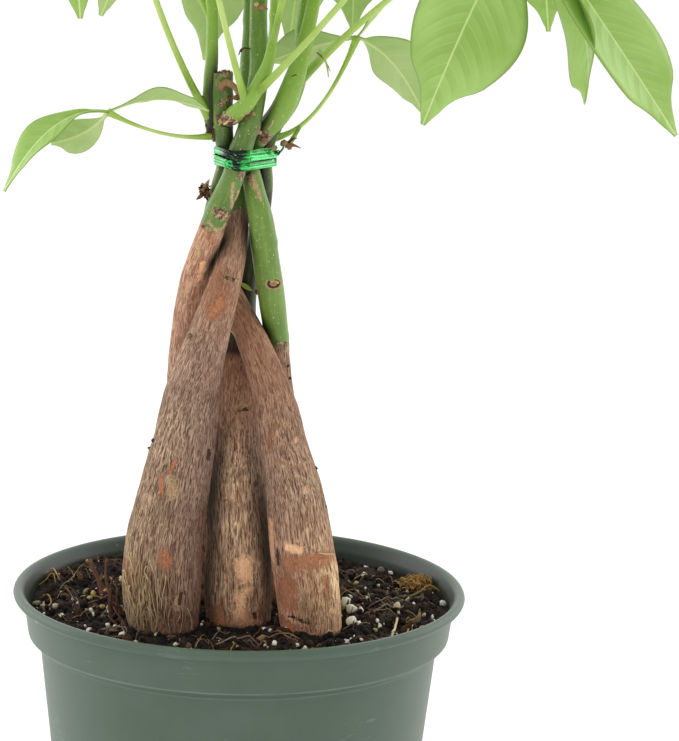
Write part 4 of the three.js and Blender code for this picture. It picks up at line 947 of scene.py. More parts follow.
def buildStemBits(bits):
    dice = random.Random(17)
    shapes = []
    for i, (points, start, end, tint) in enumerate(bits["threads"]):
        path = curvePoints(points, np.linspace(0, 1, 18))
        shapes.append(tinted(tube(path, np.linspace(start, end, 18), 8, 0.25, i), tint))
    for i, (place, radius, tint) in enumerate(bits["lumps"]):
        points, faces = ball(i + 60, 7)
        shapes.append(tinted((turned(points, dice) * radius + place, faces), tint))
    for base, ahead, length, width, tint in bits["scales"]:
        shapes.append(tinted(scaleShape(base, ahead, length, width), tint))
    middle, count = bits["bud"]
    for i in range(count):
        ahead = vec([dice.uniform(-1, 0.5), dice.uniform(-1, 0.4), dice.uniform(-1, 1)])
        foot = vec(middle) + unit(ahead) * 0.6 + [dice.uniform(-0.8, 1.2), 0, dice.uniform(-1.6, 1.6)]
        shapes.append(tinted(scaleShape(foot, ahead, dice.uniform(1.8, 4.2), dice.uniform(0.9, 1.9)),
                             dice.choice((0.08, 0.18, 0.3, 0.36, 0.45, 0.55))))
    # the leaf scar: a pale rim, a dark dish open upwards and cream bundle ends in it
    middle, wide, tall = bits["scar"]
    outward = unit(vec([0.25, -1, 0.12]))
    across = unit(np.cross([0, 0, 1], outward))
    up = np.cross(outward, across)
    turn = np.linspace(0, 2 * math.pi, 33)[:, None]
    for size, radius, lift, tint in ((1, 0.34, 0.5, 0.5), (0.84, 0.3, 0.5, 0.25), (0.66, 0.42, 0.35, 0.1),
                                     (0.3, 0.7, 0.1, 0.45)):
        ring = vec(middle) + outward * lift + (across * np.cos(turn) * wide + up * np.sin(turn) * tall) * size
        shapes.append(tinted(tube(ring, radius, 8, 0.2, 3), tint))
    for side, height in ((0.1, 0.9), (0.9, 0.7), (-0.8, 0.75), (1.5, 0.3)):
        points, faces = ball(int(side * 10) + 200, 6)
        points = points * 0.45 + middle + outward * 0.8 + across * side + up * height
        shapes.append(tinted((points, faces), 0.66))
    # torn fibres on the pruned top
    crown = stemPoint("trunk_front_right", 1)
    for i in range(26):
        angle, out = dice.uniform(0, 2 * math.pi), dice.uniform(0.5, 1) * 3.2
        foot = crown + [math.cos(angle) * out, math.sin(angle) * out, -0.8]
        path = [foot + vec([math.cos(angle + t) * 0.5 * t, math.sin(angle + t) * 0.5 * t,
                            t * dice.uniform(1.2, 2.4)]) for t in np.linspace(0, 1, 6)]
        shapes.append(tinted(tube(path, np.linspace(0.32, 0.1, 6), 5, 0.3, i),
                             dice.choice((0.05, 0.15, 0.3, 0.45, 0.6))))
    for name, count, left, right in bits["rootFeet"]:
        for i in range(count):
            x, drift, sway = dice.uniform(left, right), dice.uniform(-1.5, 3), dice.uniform(0.2, 0.7)
            z, fall = dice.uniform(145, 168), dice.uniform(5, 14)
            path = [onStem(name, x + drift * t + sway * math.sin(t * 5 + i), max(soilLevel + 1, z - fall * t))
                    for t in np.linspace(0, 1, 20)]
            path = vec(path) + [0, -0.5, 0]
            shapes.append(tinted(tube(path, np.linspace(0.2, 0.12, 20), 6, 0.2, i), dice.uniform(0.46, 0.64)))
    # withered bud scales, torn bark and scars: papery and matt, from near black to cream, the youngest green
    tissue = pieceMaterial("budScaleWithered", 0.8, [
        (0.0, "#17100c"), (0.15, "#432a1e"), (0.32, "#8a5f45"), (0.48, "#b4906b"), (0.62, "#d8c196"),
        (0.74, "#a89d49"),
        (0.86, "#a9c25f"), (1.0, "#6f9a3a")], 380.0, 0.0003, 0.07)
    makePiece("stem_growths", shapes, [tissue])


buildStemBits(stemBits)
print("stem growths ready")

soil = {
    "relief": 1.5, "edgeRadius": 76.4, "rings": 92, "around": 300, "skirtDepth": 5,
    "mixTones": [(0.25, "#090605"), (0.5, "#1a110b"), (0.75, "#382618"), (1.0, "#664a32")],
    "perliteTones": [(0.0, "#f2efe4"), (0.2, "#ddd6bf"), (0.5, "#c4a65c"), (0.75, "#9c9a72"), (1.0, "#7d6f76")],
    "chipTones": [(0.0, "#0a0605"), (0.3, "#1d130d"), (0.55, "#402719"), (0.8, "#6b4e34"), (1.0, "#9c8262")],
    "fibreTones": [(0.0, "#1b110b"), (0.25, "#3e251a"), (0.45, "#714736"), (0.6, "#8f7c6a"), (0.78, "#8d6d34"),
                   (0.88, "#c09a55"), (1.0, "#e2d8b8")],
    # heaps as height, x, y and spread; crumbs as height, size and seed
    "mound": (1.6, -42, 34, 500), "clods": [(3.2, -71, 22, 40), (2.2, -60, 48, 90)],
    "crumbled": [(1.5, 8, 61), (1.1, 3.6, 62), (0.75, 1.8, 63)],
    # how far out bits may lie and how clear of the trunks, and how near the wall fibres and moss may reach
    "stoneZone": (74, 0.8), "crumbZone": (75, 0.3), "fibreZone": (70, 2.5), "fibreReach": 75, "mossReach": 75.5,
    # x, y, width and tint of the stones in front: 0 white, 0.5 stained yellow, 0.75 olive, 1 grey mauve
    "stones": [
        (39, 3.6, 4.4, 0.14), (40.6, -9, 4.6, 0.05), (44, -10, 2.6, 0.1), (37.3, -19.2, 3.2, 0.1),
        (40, -26.5, 4.2, 0.1), (43, -25, 2.6, 0.05), (37.6, -44, 3.2, 0.1), (40.9, 10.5, 2, 0),
        (47.3, 41.5, 4.2, 0.22), (48.3, 53.6, 2.8, 0), (54.1, 48.3, 4, 1), (57.6, 42.9, 1.9, 0),
        (64.8, 40.5, 2, 0), (57.6, -2.8, 3.9, 0.3), (47.3, 13.5, 1.7, 0), (45.5, 10, 1.4, 0),
        (49.7, -19.7, 1.7, 0), (62.4, -22.7, 1.8, 0.1), (74.6, 1, 3.4, 0.05), (70, -14, 2, 0.1),
        (16.6, -36.4, 3.8, 0.18), (9.2, -32, 2.6, 0.05), (11, -36, 1.5, 0), (20, -50.4, 2.6, 0.1),
        (23, -51, 2.4, 0.15), (-53, 16.5, 2.7, 0), (-53.5, 4.5, 4.2, 0.55), (-50.2, 11.3, 3.8, 0.3),
        (-48.8, 4, 3, 0.5), (-50, -5.6, 3.6, 0.62), (-47.6, -6.6, 3.2, 0.42), (-46.8, -10.5, 3.2, 0),
        (-46.5, -16.8, 2.6, 0), (-53.6, -11, 2.9, 0.05), (-52, -14.6, 2.8, 0.12), (-62.8, 51, 3.6, 0.4),
        (-74, -0.7, 3.4, 0.7), (-71, -6, 3, 0.42), (-66.7, -10.5, 3.4, 0.25), (-63.8, -15.4, 3.6, 0.12),
        (-64.7, 7.8, 3.2, 1), (-56.9, 12.2, 3.8, 0.72), (-52.9, -35.7, 3.6, 0.06), (-46.5, -30.4, 2.8, 0.02),
        (-41.6, -18.4, 2, 0.05), (-61, 0, 1.7, 0), (-57, -1, 1.9, 0), (-55.5, 0.5, 1.6, 0),
        (-68.5, -14, 1.8, 0.1), (-70, -20, 2, 0.05), (-62, -30, 1.6, 0), (12.4, -52.6, 2.4, 0),
        (-10, -50, 2.2, 0.3), (-29, -52, 1.7, 0), (-22, -53, 2.2, 0.2), (-17, -53.6, 2.8, 0.1),
        (-36, -50, 2.4, 0.3), (-2, -51, 1.9, 0.4), (64, 2, 1.6, 0.1), (52, 25, 1.5, 0.2), (60, 31, 1.6, 0),
        (44, 30, 2.2, 0.5), (41, 34, 2, 0.6), (47, 22, 1.4, 0),
    ],
    "smallStones": 240, "crumbs": 1900, "chips": 420, "fibres": 190, "seed": 41,
    # long straws and fibres seen from the front: points in x, y and rise, radius and tint
    "straws": [
        ([(56.7, -21.8, 3), (55.4, -30, 2.2), (54, -39, 0.8)], 0.42, 0.98),
        ([(62.4, -24, 1.5), (58.1, -35.2, 1)], 0.36, 0.9), ([(66, -24, 1), (62, -31, 1)], 0.3, 0.85),
        ([(60, 11, 0.6), (66, 13.5, 2.2), (71, 18, 3.4), (74.6, 17.4, 2)], 0.38, 0.72),
        ([(58, 4, 0.6), (66, 9, 1.8), (72, 8, 1.2)], 0.22, 0.62),
        ([(46, -14, 0.5), (53, -9, 2.2), (60, -3, 1)], 0.24, 0.66),
        ([(45, -18, 0.5), (52, -14, 2), (58, -11, 0.8)], 0.2, 0.72),
        ([(47, -5, 0.5), (56, 2, 2.4), (63, 6, 1)], 0.2, 0.6),
        ([(66, -4, 0.6), (63, -14, 2.4), (60, -22, 0.8)], 0.24, 0.7),
        ([(-72, 28, 0.8), (-67.5, 37, 2.2), (-62, 29, 0.6)], 0.18, 0.8),
        ([(-54.6, 36.9, 1), (-60.2, 31, 2.4), (-64.5, 19, 0.6)], 0.18, 0.75),
        ([(-63, 30, 0.6), (-62, 22, 2.6), (-67, 14, 0.6)], 0.2, 0.7),
        ([(-57, 34, 1.2), (-50, 27, 1.8), (-47, 21, 0.6)], 0.2, 0.9),
        ([(-72, 6, 1.2), (-69, 0, 1.6), (-68.4, -9, 0.6)], 0.24, 0.85),
        ([(-62, -24, 0.6), (-56, -14, 1.4), (-51, -4, 0.6)], 0.22, 0.6),
        ([(-75, 22, 1.2), (-71.5, 26, 2.4), (-67, 18, 1)], 0.2, 0.85),
        ([(-74.6, 16, 1.2), (-70, 20, 2), (-68, 14, 1.2)], 0.18, 0.8),
        ([(-40, -40, 0.6), (-44, -33, 1.6), (-50, -36, 0.6)], 0.24, 0.6),
        ([(-8, -52, 0.6), (0, -50, 2.2), (8, -49, 0.8)], 0.3, 0.55),
        ([(22, -47, 0.8), (14, -44, 3), (10, -38, 1)], 0.28, 0.5),
    ],
    "moss": (68, 28), "mossFibres": 260,
    "stalks": [
        # foot x, y, the way it stands, radius and tint
        ((-50.5, 2), (-4.6, 14, 15), 0.95, 0.62), ((-46.8, -10), (-2, 16, 20), 0.75, 0.45),
        ((-46, -14), (-0.4, 6, 17), 0.6, 0.3), ((-44.6, -18), (-3.4, 4, 13), 0.7, 0.4),
        ((-45.2, -20), (1, -3, 10), 0.5, 0.25), ((-42.5, -22), (-3, 6, 9), 0.5, 0.5),
        ((-41, -32), (-3.4, 10, 8), 0.4, 0.58), ((-44, -26), (-2.4, 8, 6), 0.55, 0.2),
        ((-42, -14), (-2.6, 4, 12), 0.8, 0.22),
    ],
}


def heap(x, y, height, centreX, centreY, spread):
    return height * np.exp(-((x - centreX) ** 2 + (y - centreY) ** 2) / spread)


def soilHeight(x, y):
    clods = np.sin(x * 0.11 + 0.6) * np.cos(y * 0.13 - 0.4) + 0.5 * np.sin(x * 0.23 - y * 0.19 + 2.1)
    return soilLevel + soil["relief"] * clods * 0.6 + heap(x, y, *soil["mound"])


def soilSurface(x, y):
    # the CAD's height with clods and crumbs on it
    flat = np.stack([x, y, np.zeros_like(x)], -1)
    crumbs = sum(rise * lumps(flat, size, seed) for rise, size, seed in soil["crumbled"])
    clod = sum(heap(x, y, *row) for row in soil["clods"])
    edge = np.clip((soil["edgeRadius"] - np.hypot(x, y)) / 3, 0.25, 1)
    return soilHeight(x, y) + (crumbs + clod) * edge


trunkFeet = [(stemPoint(name, share), float(stemRadius(name, share)))
             for name, share in ((name, stemShare(name, soilLevel)) for name in trunkNames)]


def buildSoil(look):
    angle = np.arange(look["around"]) / look["around"] * 2 * math.pi
    r, a = np.meshgrid(np.linspace(0.5, look["edgeRadius"], look["rings"]), angle, indexing="ij")
    x, y = r * np.cos(a), r * np.sin(a)
    top = np.stack([x, y, soilSurface(x, y)], -1)
    wall = top[-1:] * [0.99, 0.99, 1] - [0, 0, look["skirtDepth"]]
    points, faces = skin(np.concatenate([top, wall]), capStart=False, capEnd=False)
    inside = np.zeros(len(points), bool)
    for foot, radius in trunkFeet:
        inside |= np.hypot(points[:, 0] - foot[0], points[:, 1] - foot[1]) < radius - 1.5
    faces = [face for face in faces if not all(inside[v] for v in face)]
    hollow = np.concatenate([(top[..., 2] - soilHeight(x, y)).ravel(), np.zeros(look["around"])])
    # peat and bark compost, crumbled: matt and nearly black where damp, browner on dry crumbs
    mix = pieceMaterial("pottingMixCrumbled", 0.95, look["mixTones"], 520.0, 0.0012, 0.3)
    # the tint darkens near the trunk feet: painted shade where the stems shade the soil
    footing = np.min([np.hypot(points[:, 0] - foot[0], points[:, 1] - foot[1]) - radius
                      for foot, radius in trunkFeet], 0)
    tint = np.clip(0.46 + 0.1 * hollow - 0.4 * np.exp(-np.maximum(footing[:len(hollow)], 0) / 4), 0, 0.8)
    makePiece("potting_mix", [(points, faces, 0, {"tint": tint})], [mix], ["soil"])


def scatterPlace(dice, reach, margin):
    while True:
        r, a = math.sqrt(dice.random()) * reach, dice.uniform(0, 2 * math.pi)
        x, y = r * math.cos(a), r * math.sin(a)
        if all(math.hypot(x - foot[0], y - foot[1]) > radius + margin for foot, radius in trunkFeet):
            return x, y


def onSoil(x, y):
    return float(soilSurface(vec([x]), vec([y]))[0])


def insidePot(x, y, reach):
    shrink = min(1, reach / math.hypot(x, y))
    return x * shrink, y * shrink


def buildLitter(look):
    dice = random.Random(look["seed"])
    stones = [(x, y, size * (0.47 if x > 5 else 0.38), tint) for x, y, size, tint in look["stones"]]
    for _ in range(look["smallStones"]):
        x, y = scatterPlace(dice, *look["stoneZone"])
        stones.append((x, y, 0.3 + 0.9 * dice.random() ** 2.4, 0.7 * dice.random() ** 2))
    shapes = []
    for i, (x, y, radius, tint) in enumerate(stones):
        points, faces = ball(i + 1, 7)
        points = turned(points * [1.1, dice.uniform(0.7, 0.95), dice.uniform(0.6, 0.85)], dice) * radius
        shapes.append(tinted((points + [x, y, onSoil(x, y) + radius * 0.5], faces), tint))
    # expanded volcanic glass, popped in a furnace: chalky white lumps, some stained, and a few pebbles
    perlite = pieceMaterial("perliteExpanded", 0.9, look["perliteTones"], 900.0, 0.0005, 0.14)
    makePiece("perlite", shapes, [perlite])
    shapes = []
    for i in range(look["crumbs"] + look["chips"]):
        x, y = scatterPlace(dice, *look["crumbZone"])
        chip = i >= look["crumbs"]
        size = 0.6 + 2.4 * dice.random() ** 2 if chip else 0.45 + 1.3 * dice.random() ** 1.7
        spans = ((0.35, 0.7), (0.15, 0.4)) if chip else ((0.7, 1), (0.6, 0.9))
        flat = (1.3 if chip else 1, *(dice.uniform(*span) for span in spans))
        points, faces = ball(i + 400, 4)
        points = turned(points * flat, dice) * size
        tint = 0.2 + 0.75 * dice.random() ** 1.5 if chip else 0.55 * dice.random() ** 1.8
        shapes.append(tinted((points + [x, y, onSoil(x, y) + size * 0.35], faces), tint))
    # composted bark, shredded: crumbs from nearly black to red-brown and dull splinters
    chips = pieceMaterial("barkShredded", 0.92, look["chipTones"], 260.0, 0.0005, 0.12)
    makePiece("bark_chips", shapes, [chips])
    shapes = []
    for i in range(look["fibres"]):
        x, y = scatterPlace(dice, *look["fibreZone"])
        turn, length = dice.uniform(0, 2 * math.pi), dice.uniform(4, 15)
        bendSide, rise = dice.uniform(-0.35, 0.35), dice.uniform(0.3, 2.4)
        path = []
        for t in np.linspace(-0.5, 0.5, 9):
            bow = bendSide * length * (0.25 - t * t)
            px, py = insidePot(x + math.cos(turn) * t * length - math.sin(turn) * bow,
                               y + math.sin(turn) * t * length + math.cos(turn) * bow, look["fibreReach"])
            path.append([px, py, onSoil(px, py) + 0.3 + rise * (0.25 - t * t) * 4])
        shapes.append(tinted(tube(path, dice.uniform(0.1, 0.26), 5), dice.uniform(0.2, 0.8)))
    for points, radius, tint in look["straws"]:
        path = curvePoints(points, np.linspace(0, 1, 16))
        path[:, 2] += [onSoil(px, py) for px, py, _ in path]
        shapes.append(tinted(tube(path, radius, 6, 0.15, 5), tint))
    mx, my = look["moss"]
    for i in range(look["mossFibres"]):
        turn, out = dice.uniform(0, 2 * math.pi), dice.random() ** 0.7
        x, y = insidePot(mx + math.cos(turn) * out * 7.5, my + math.sin(turn) * out * 6, look["fibreReach"])
        lean, length, low = dice.uniform(0, 2 * math.pi), dice.uniform(2.5, 6), onSoil(x, y)
        path = []
        for t in np.linspace(0, 1, 6):
            px, py = insidePot(x + math.cos(lean) * t * length * 0.8, y + math.sin(lean) * t * length * 0.8,
                               look["mossReach"])
            path.append([px, py, low - 0.4 + (3.6 * (1 - out * out) + length * 0.35) * math.sin(t * 2.2)])
        shapes.append(tinted(tube(path, np.linspace(0.34, 0.14, 6), 5), 0.78 + 0.12 * dice.random()))
    for i, ((x, y), lean, radius, tint) in enumerate(look["stalks"]):
        foot = vec([x, y, onSoil(x, y) - 1])
        path = [foot + vec(lean) * t * 0.85 + vec([math.sin(t * 5 + i), math.cos(t * 4 + i), 0]) * 0.9
                for t in np.linspace(0, 1, 12)]
        girth = np.linspace(radius * 1.1, radius * 0.6, 12)
        shapes.append(tinted(tube(path, girth, 7, 0.4, i + 3), 0.24 + tint * 0.26))
    # root, straw, dry stalk and sphagnum, as they fell: matt, from dark root to red, golden and pale straw
    fibre = pieceMaterial("plantFibreDry", 0.85, look["fibreTones"], 120.0, 0.0003, 0.06)
    makePiece("soil_fibres", shapes, [fibre])


buildSoil(soil)
buildLitter(soil)
print("soil ready")

tie = {
    "level": 305.4, "height": 6.4, "seat": 0.3, "tilt": 0.04, "sag": 0.9,
    "turns": [
        {"rise": 2.3, "slant": 0.5, "turn": 2.4, "wide": 1.05, "off": 0.3},
        {"rise": 1.2, "slant": -0.7, "turn": 0.9, "wide": 1.2, "off": 0.5},
        {"rise": -0.2, "slant": 0.8, "turn": 1.6, "wide": 1.15, "off": 0.36},
        {"rise": -1.5, "slant": -0.5, "turn": 2.2, "wide": 1.2, "off": 0.48},
        {"rise": -2.5, "slant": 0.4, "turn": 3.1, "wide": 1.0, "off": 0.3},
    ],
    "around": 260, "section": 20, "pleat": 0.34, "crinkle": 0.16,
    # painted dark reflection where the foil faces the dark room, and its painted glints: place and radius
    "deep": [([(-9.4, -30, 307.6), (-3, -31, 306.8)], 3.8), ([(-4.8, -31, 304), (-3.4, -31, 301)], 3),
             ([(-12, -27, 307.4), (-10.6, -28, 305)], 0.8), ([(2, -29, 303), (9, -24, 303.6)], 0.6)],
    "glints": [([(-10.4, -29.5, 306.4), (-7.4, -30, 304.6)], 0.8),
               ([(-4.6, -30, 307.2), (-3.8, -30, 306.6)], 0.7), ([(-0.8, -30, 306.4), (0.4, -30, 304.4)], 0.8),
               ([(-6, -30, 302), (-5.6, -30, 301)], 0.9), ([(-1.6, -30, 302.4), (-1.2, -30, 300.2)], 0.9),
               ([(-8, -30, 307.4), (-6, -30, 307.2)], 0.5),
               ([(3, -28, 308), (8, -24, 307.6)], 0.4)],
    # dark and glint colour the painted dark reflection and painted glints; shade, green and bright tone the
    # crumples with painted shade and painted highlight
    "dark": "#01100a", "shade": "#045f1e", "green": "#109a3a", "bright": "#46cf6e", "glint": "#d2f7dc",
}


def bundleReach(angle):
    # the furthest stem in each direction, as the CAD's tie finds it
    direction = np.stack([np.cos(angle), np.sin(angle)], -1)
    reach = np.full(len(angle), -1e9)
    middle = np.zeros((len(angle), 2))
    for name in trunkNames:
        for height in (tie["level"] - tie["height"] / 2, tie["level"], tie["level"] + tie["height"] / 2):
            share = stemShare(name, height)
            centre, radius = stemPoint(name, share)[:2], float(stemRadius(name, share))
            out = direction @ centre + radius
            further = out > reach
            reach = np.where(further, out, reach)
            middle[further] = centre + direction[further] * radius
    return middle, direction


def buildTie(look):
    angle = np.arange(look["around"]) / look["around"] * 2 * math.pi
    middle, direction = bundleReach(angle)
    for _ in range(6):  # pulled tight, the foil spans the hollows between stems
        middle = (np.roll(middle, 1, 0) + 2 * middle + np.roll(middle, -1, 0)) / 4
    front = np.clip(-np.sin(angle - 0.25), 0, 1) ** 3
    shapes = []
    for i, turn in enumerate(look["turns"]):
        rise = turn["rise"] + turn["slant"] * np.sin(angle + turn["turn"]) - look["sag"] * front
        rings, crests = [], []
        for k in range(look["section"]):
            t = k / look["section"] * 2 * math.pi
            across = math.cos(t)
            # pleats run along the foil and fade in and out; crinkles cut across them
            round1 = np.stack([np.cos(angle) * 2.2, np.sin(angle) * 2.2,
                               np.full_like(angle, across * 2.4 + i * 5)], -1)
            pleat = lumps(round1, 1, 70 + i) + 0.5 * lumps(round1 * [1.8, 1.8, 1.6], 1, 75 + i)
            crinkle = lumps(round1 * [5, 5, 0.8], 1, 80 + i)
            off = turn["off"] + look["seat"] * 0.5 + 0.34 * math.sin(t)
            off = off + look["pleat"] * pleat + look["crinkle"] * crinkle
            x, y = (middle + direction * np.maximum(off, -0.2)[:, None]).T
            edgeWave = 1 + 0.18 * lumps(round1 * [1.5, 1.5, 0], 1, 90 + i)
            z = look["level"] + rise + turn["wide"] * across * edgeWave - look["tilt"] * x
            rings.append(np.stack([x, y, z], -1))
            # the crest height tones the colour: painted shade in the hollows, painted highlight on the crests
            crests.append(0.5 + 0.55 * pleat + 0.35 * crinkle - 0.25 * across ** 4)
        rings, crests = np.array(rings).transpose(1, 0, 2), np.array(crests).T
        closed, crest = np.concatenate([rings, rings[:1]]), np.concatenate([crests, crests[:1]])
        points, faces = skin(closed, capStart=False, capEnd=False)
        deep, glint = (np.max([1 - lineDistance(closed, line) / size for line, size in look[kind]], 0)
                       for kind in ("deep", "glints"))
        shapes.append((points, faces, 0, {"crest": crest.ravel(), "deep": deep.ravel(),
                                          "glint": glint.ravel()}))
    start = middle[0] + direction[0] * 0.9
    for side, seed in ((0, 5), (0.7, 9)):
        path = curvePoints([
            [start[0] - 0.6, start[1] - side, look["level"] + 0.2],
            [start[0] + 1.2, start[1] - 0.5 - side, look["level"] + 1.2],
            [start[0] + 2.2, start[1] - 1 + side, look["level"] + 2.8],
            [start[0] + 1.8, start[1] - 1.6 + side, look["level"] + 4.4],
        ], np.linspace(0, 1, 18))
        shapes.append(tube(path, np.linspace(0.42, 0.3, 18), 8, 0.3, seed) + (0, {"crest": np.full(144, 0.4)}))
    # aluminised polyester ribbon over a wire, rolled and crumpled; its colour holds painted glints and painted
    # shade in the folds, beside a painted dark reflection
    foil, shader, add = newMaterial("polyesterFoilCrumpled", {
        "Metallic": 0.75, "Roughness": 0.22, "Coat Weight": 0.4, "Coat Roughness": 0.06})
    crest, deep, glint = (add("Attribute", {"attribute_name": name}).outputs["Fac"]
                          for name in ("crest", "deep", "glint"))
    place = add("TexCoord").outputs["Object"]
    fold = add("TexNoise", {"Scale": 500.0, "Detail": 2.0, "Roughness": 0.6, "Vector": place})  # 2 mm folds
    # folds and crests set the colour from painted shade to painted highlight
    height = add("Math", {"operation": "MULTIPLY_ADD", 1: 0.5, 0: fold, 2: crest})
    tone = add("ValToRGB", {"stops": [(0.3, look["shade"]), (0.7, look["green"]), (1.0, look["bright"])],
                            "Fac": height})
    # painted dark reflection and painted glints at their listed places
    sink = add("Math", {"operation": "MULTIPLY_ADD", 1: -0.6, 0: height, 2: deep})
    dark = add("MapRange", {"From Min": -0.35, "From Max": 0.1, "Value": sink})
    spark = add("Math", {"operation": "MULTIPLY", 0: height, 1: glint})
    white = add("MapRange", {"From Min": 0.12, "From Max": 0.4, "Value": spark})
    for amount, colour in ((dark, look["dark"]), (white, look["glint"])):
        tone = add("Mix", {"data_type": "RGBA", 0: amount, 6: tone, 7: colour})
    feed(shader, "Base Color", tone)
    feed(shader, "Normal", add("Bump", {"Strength": 0.7, "Distance": 0.0005, "Height": fold}))
    makePiece("foil_tie", shapes, [foil], ["twist_tie"])


buildTie(tie)
print("tie ready")

blade = {"thickness": 0.34, "widthRatio": 0.43, "stalkShare": 0.07, "stalkHalfWidth": 0.75, "rows": 44,
         "columns": 7,
         "usualShoulder": 1.3, "usualGirth": 1.05}
# The crown: its lowest leaflet, where stems start to take room, and the gaps that stalks and leaflets keep
canopy = {
    "skirt": 377, "stemsFrom": 300, "stalkRadius": 1.2, "stalkGap": 2, "bladeGap": 3.4, "atBase": 14,
    "atHub": 26,
    "atStalk": 8, "shifts": (0, 7, -7, 14, -14, 21, -21, 28, -28), "tries": 30,
}

# Leaves as in the CAD; each blade has its bend, tip, facing, width and, where it isn't the usual one, shoulder
frontLeaves = [
    {"name": "low_left", "stem": "left_shoot", "from": 312.5, "girth": 0.6, "bend": [-28.5, -26, 310.3],
     "hub": [-48.2, -34, 321.6], "blades": [
         [[-67, -42, 325], [-82, -48, 295.5], [-0.4, -0.47, 0.79], 14.5],
         [[-31, -31, 330.5], [-14, -27.5, 322], [0, 0.35, 0.9], 15],
         [[-54, -33, 313], [-67.3, -35, 310.6], [0, 0.95, -0.3], 12]]},
    {"name": "low_right", "stem": "trunk_middle", "from": 311, "girth": 0.7, "bend": [24.3, -1, 311.5],
     "hub": [37.3, 4, 346], "blades": [
         [[52, 5, 341], [62, 6, 319], [0.3, 0.8, 0.5], 21.5, 1],
         [[22, 12, 343], [5, 16, 335], [0, 0.9, 0.4], 15],
         [[45, 8, 355], [55, 16, 366], [-0.75, 0.13, 0.66], 12]]},
    {"name": "big_right", "stem": "trunk_middle", "from": 329, "bend": [48, -24, 368], "hub": [89, -55, 393],
     "blades": [
        [[74.5, -76, 374], [56, -82, 325], [0.44, -0.89, 0.14], 41],
        [[116, -62, 359.5], [108, -86, 333.6], [-0.95, -0.27, -0.17], 28],
        [[110, -70, 366], [139.3, -78, 322.9], [0.5, -0.65, 0.57], 36],
        [[98, -32, 386], [102, -24, 351.8], [-0.3, -0.9, 0.2], 20],
        [[128, -40, 404], [165, -32, 392], [0.1, 0, 1], 36],
        [[104, -20, 408], [120, 14, 398], [0, 0.1, 1], 32]]},
    {"name": "upper_left", "stem": "left_shoot", "from": 317, "bend": [-36, -32, 356], "hub": [-46, -45, 412],
     "blades": [
        [[-60, -66, 402], [-56, -62, 355], [-0.2, -0.9, 0.4], 30],
        [[-72, -56, 418], [-100, -70, 392], [-0.2, 0, 1], 36],
        [[-78, -34, 424], [-112, -24, 398], [-0.2, 0, 1], 38],
        [[-52, -78, 418], [-66, -112, 392], [-0.1, -0.2, 1], 36],
        [[-60, -18, 420], [-82, 6, 402], [-0.1, 0.1, 1], 30]]},
    {"name": "near_left", "stem": "front_shoot", "from": 325, "bend": [-8, -36, 345], "hub": [-20, -60, 400],
     "blades": [
        [[-36, -46, 392], [-50.6, -40, 354.5], [-0.3, 0.8, 0.5], 28],
        [[-24, -86, 404], [-34, -122, 384], [0, -0.2, 1], 34],
        [[2, -82, 404], [14, -116, 384], [0.1, -0.2, 1], 34]]},
    {"name": "near_right", "stem": "front_shoot", "from": 326.5, "bend": [24, -38, 350], "hub": [74, -66, 420],
     "blades": [
        [[96, -82, 428], [126, -108, 404], [0.1, -0.1, 1], 40],
        [[76, -92, 426], [80, -136, 400], [0, -0.2, 1], 40],
        [[106, -60, 430], [150, -62, 412], [0.1, 0, 1], 40],
        [[48, -84, 424], [30, -116, 404], [-0.1, -0.1, 1], 32],
        [[96, -42, 430], [124, -12, 420], [0.1, 0.1, 1], 34]]},
    {"name": "back_left", "stem": "trunk_front_left", "from": 358, "bend": [-6, 28, 384],
     "hub": [-18, 62, 402], "blades": [
        [[-10, 66, 380], [-17, 46, 333], [0, 0.9, 0.3], 28], [[-40, 84, 408], [-72, 104, 388], [0, 0, 1], 38],
        [[-16, 92, 408], [-24, 138, 386], [0, 0.1, 1], 38],
        [[-50, 62, 406], [-88, 58, 386], [0, 0, 1], 34]]},
    {"name": "back_right", "stem": "trunk_middle", "from": 352, "bend": [28, 34, 382], "hub": [34, 60, 404],
     "blades": [
        [[38, 60, 386], [37, 42, 346], [0, 0.9, 0.3], 30], [[18, 66, 384], [14, 52, 338], [0.1, 0.9, 0.3], 26],
        [[62, 82, 410], [96, 100, 388], [0, 0, 1], 38], [[34, 96, 410], [32, 142, 386], [0, 0.1, 1], 38],
        [[72, 58, 410], [110, 50, 392], [0.1, 0, 1], 34]]},
]

# stem, height on it, hub x, y, z, leaflets and leaflet length
canopyLeaves = [
    ["left_shoot", 352, -60, 12, 424, 5, 84], ["front_shoot", 344, 30, -64, 440, 6, 92],
    ["left_shoot", 380, -44, -34, 452, 6, 90], ["trunk_middle", 376, 72, 26, 430, 6, 90],
    ["trunk_front_left", 396, -52, 46, 440, 6, 92], ["front_shoot", 380, -14, -70, 452, 6, 90],
    ["trunk_back_right", 392, 74, -28, 458, 6, 92], ["trunk_middle", 408, 44, 62, 458, 6, 90],
    ["trunk_back_right", 420, 52, -46, 484, 6, 84], ["trunk_front_left", 446, -54, 10, 478, 6, 86],
    ["trunk_back_left", 456, 50, 22, 496, 6, 84], ["trunk_back_left", 468, 4, -40, 516, 6, 78],
    ["trunk_front_left", 452, -22, 44, 506, 6, 80], ["trunk_back_left", 482, 12, 6, 528, 6, 74],
]


def seededRandom(seed):
    # the CAD's random numbers, so that both lay the same leaves
    state = seed
    mask = 0xFFFFFFFF

    def draw():
        nonlocal state
        state = (state + 0x6D2B79F5) & mask
        mixed = ((state ^ (state >> 15)) * (1 | state)) & mask
        mixed = ((mixed + (mixed ^ (mixed >> 7)) * (61 | mixed)) & mask) ^ mixed
        return ((mixed ^ (mixed >> 14)) & mask) / 4294967296

    return draw


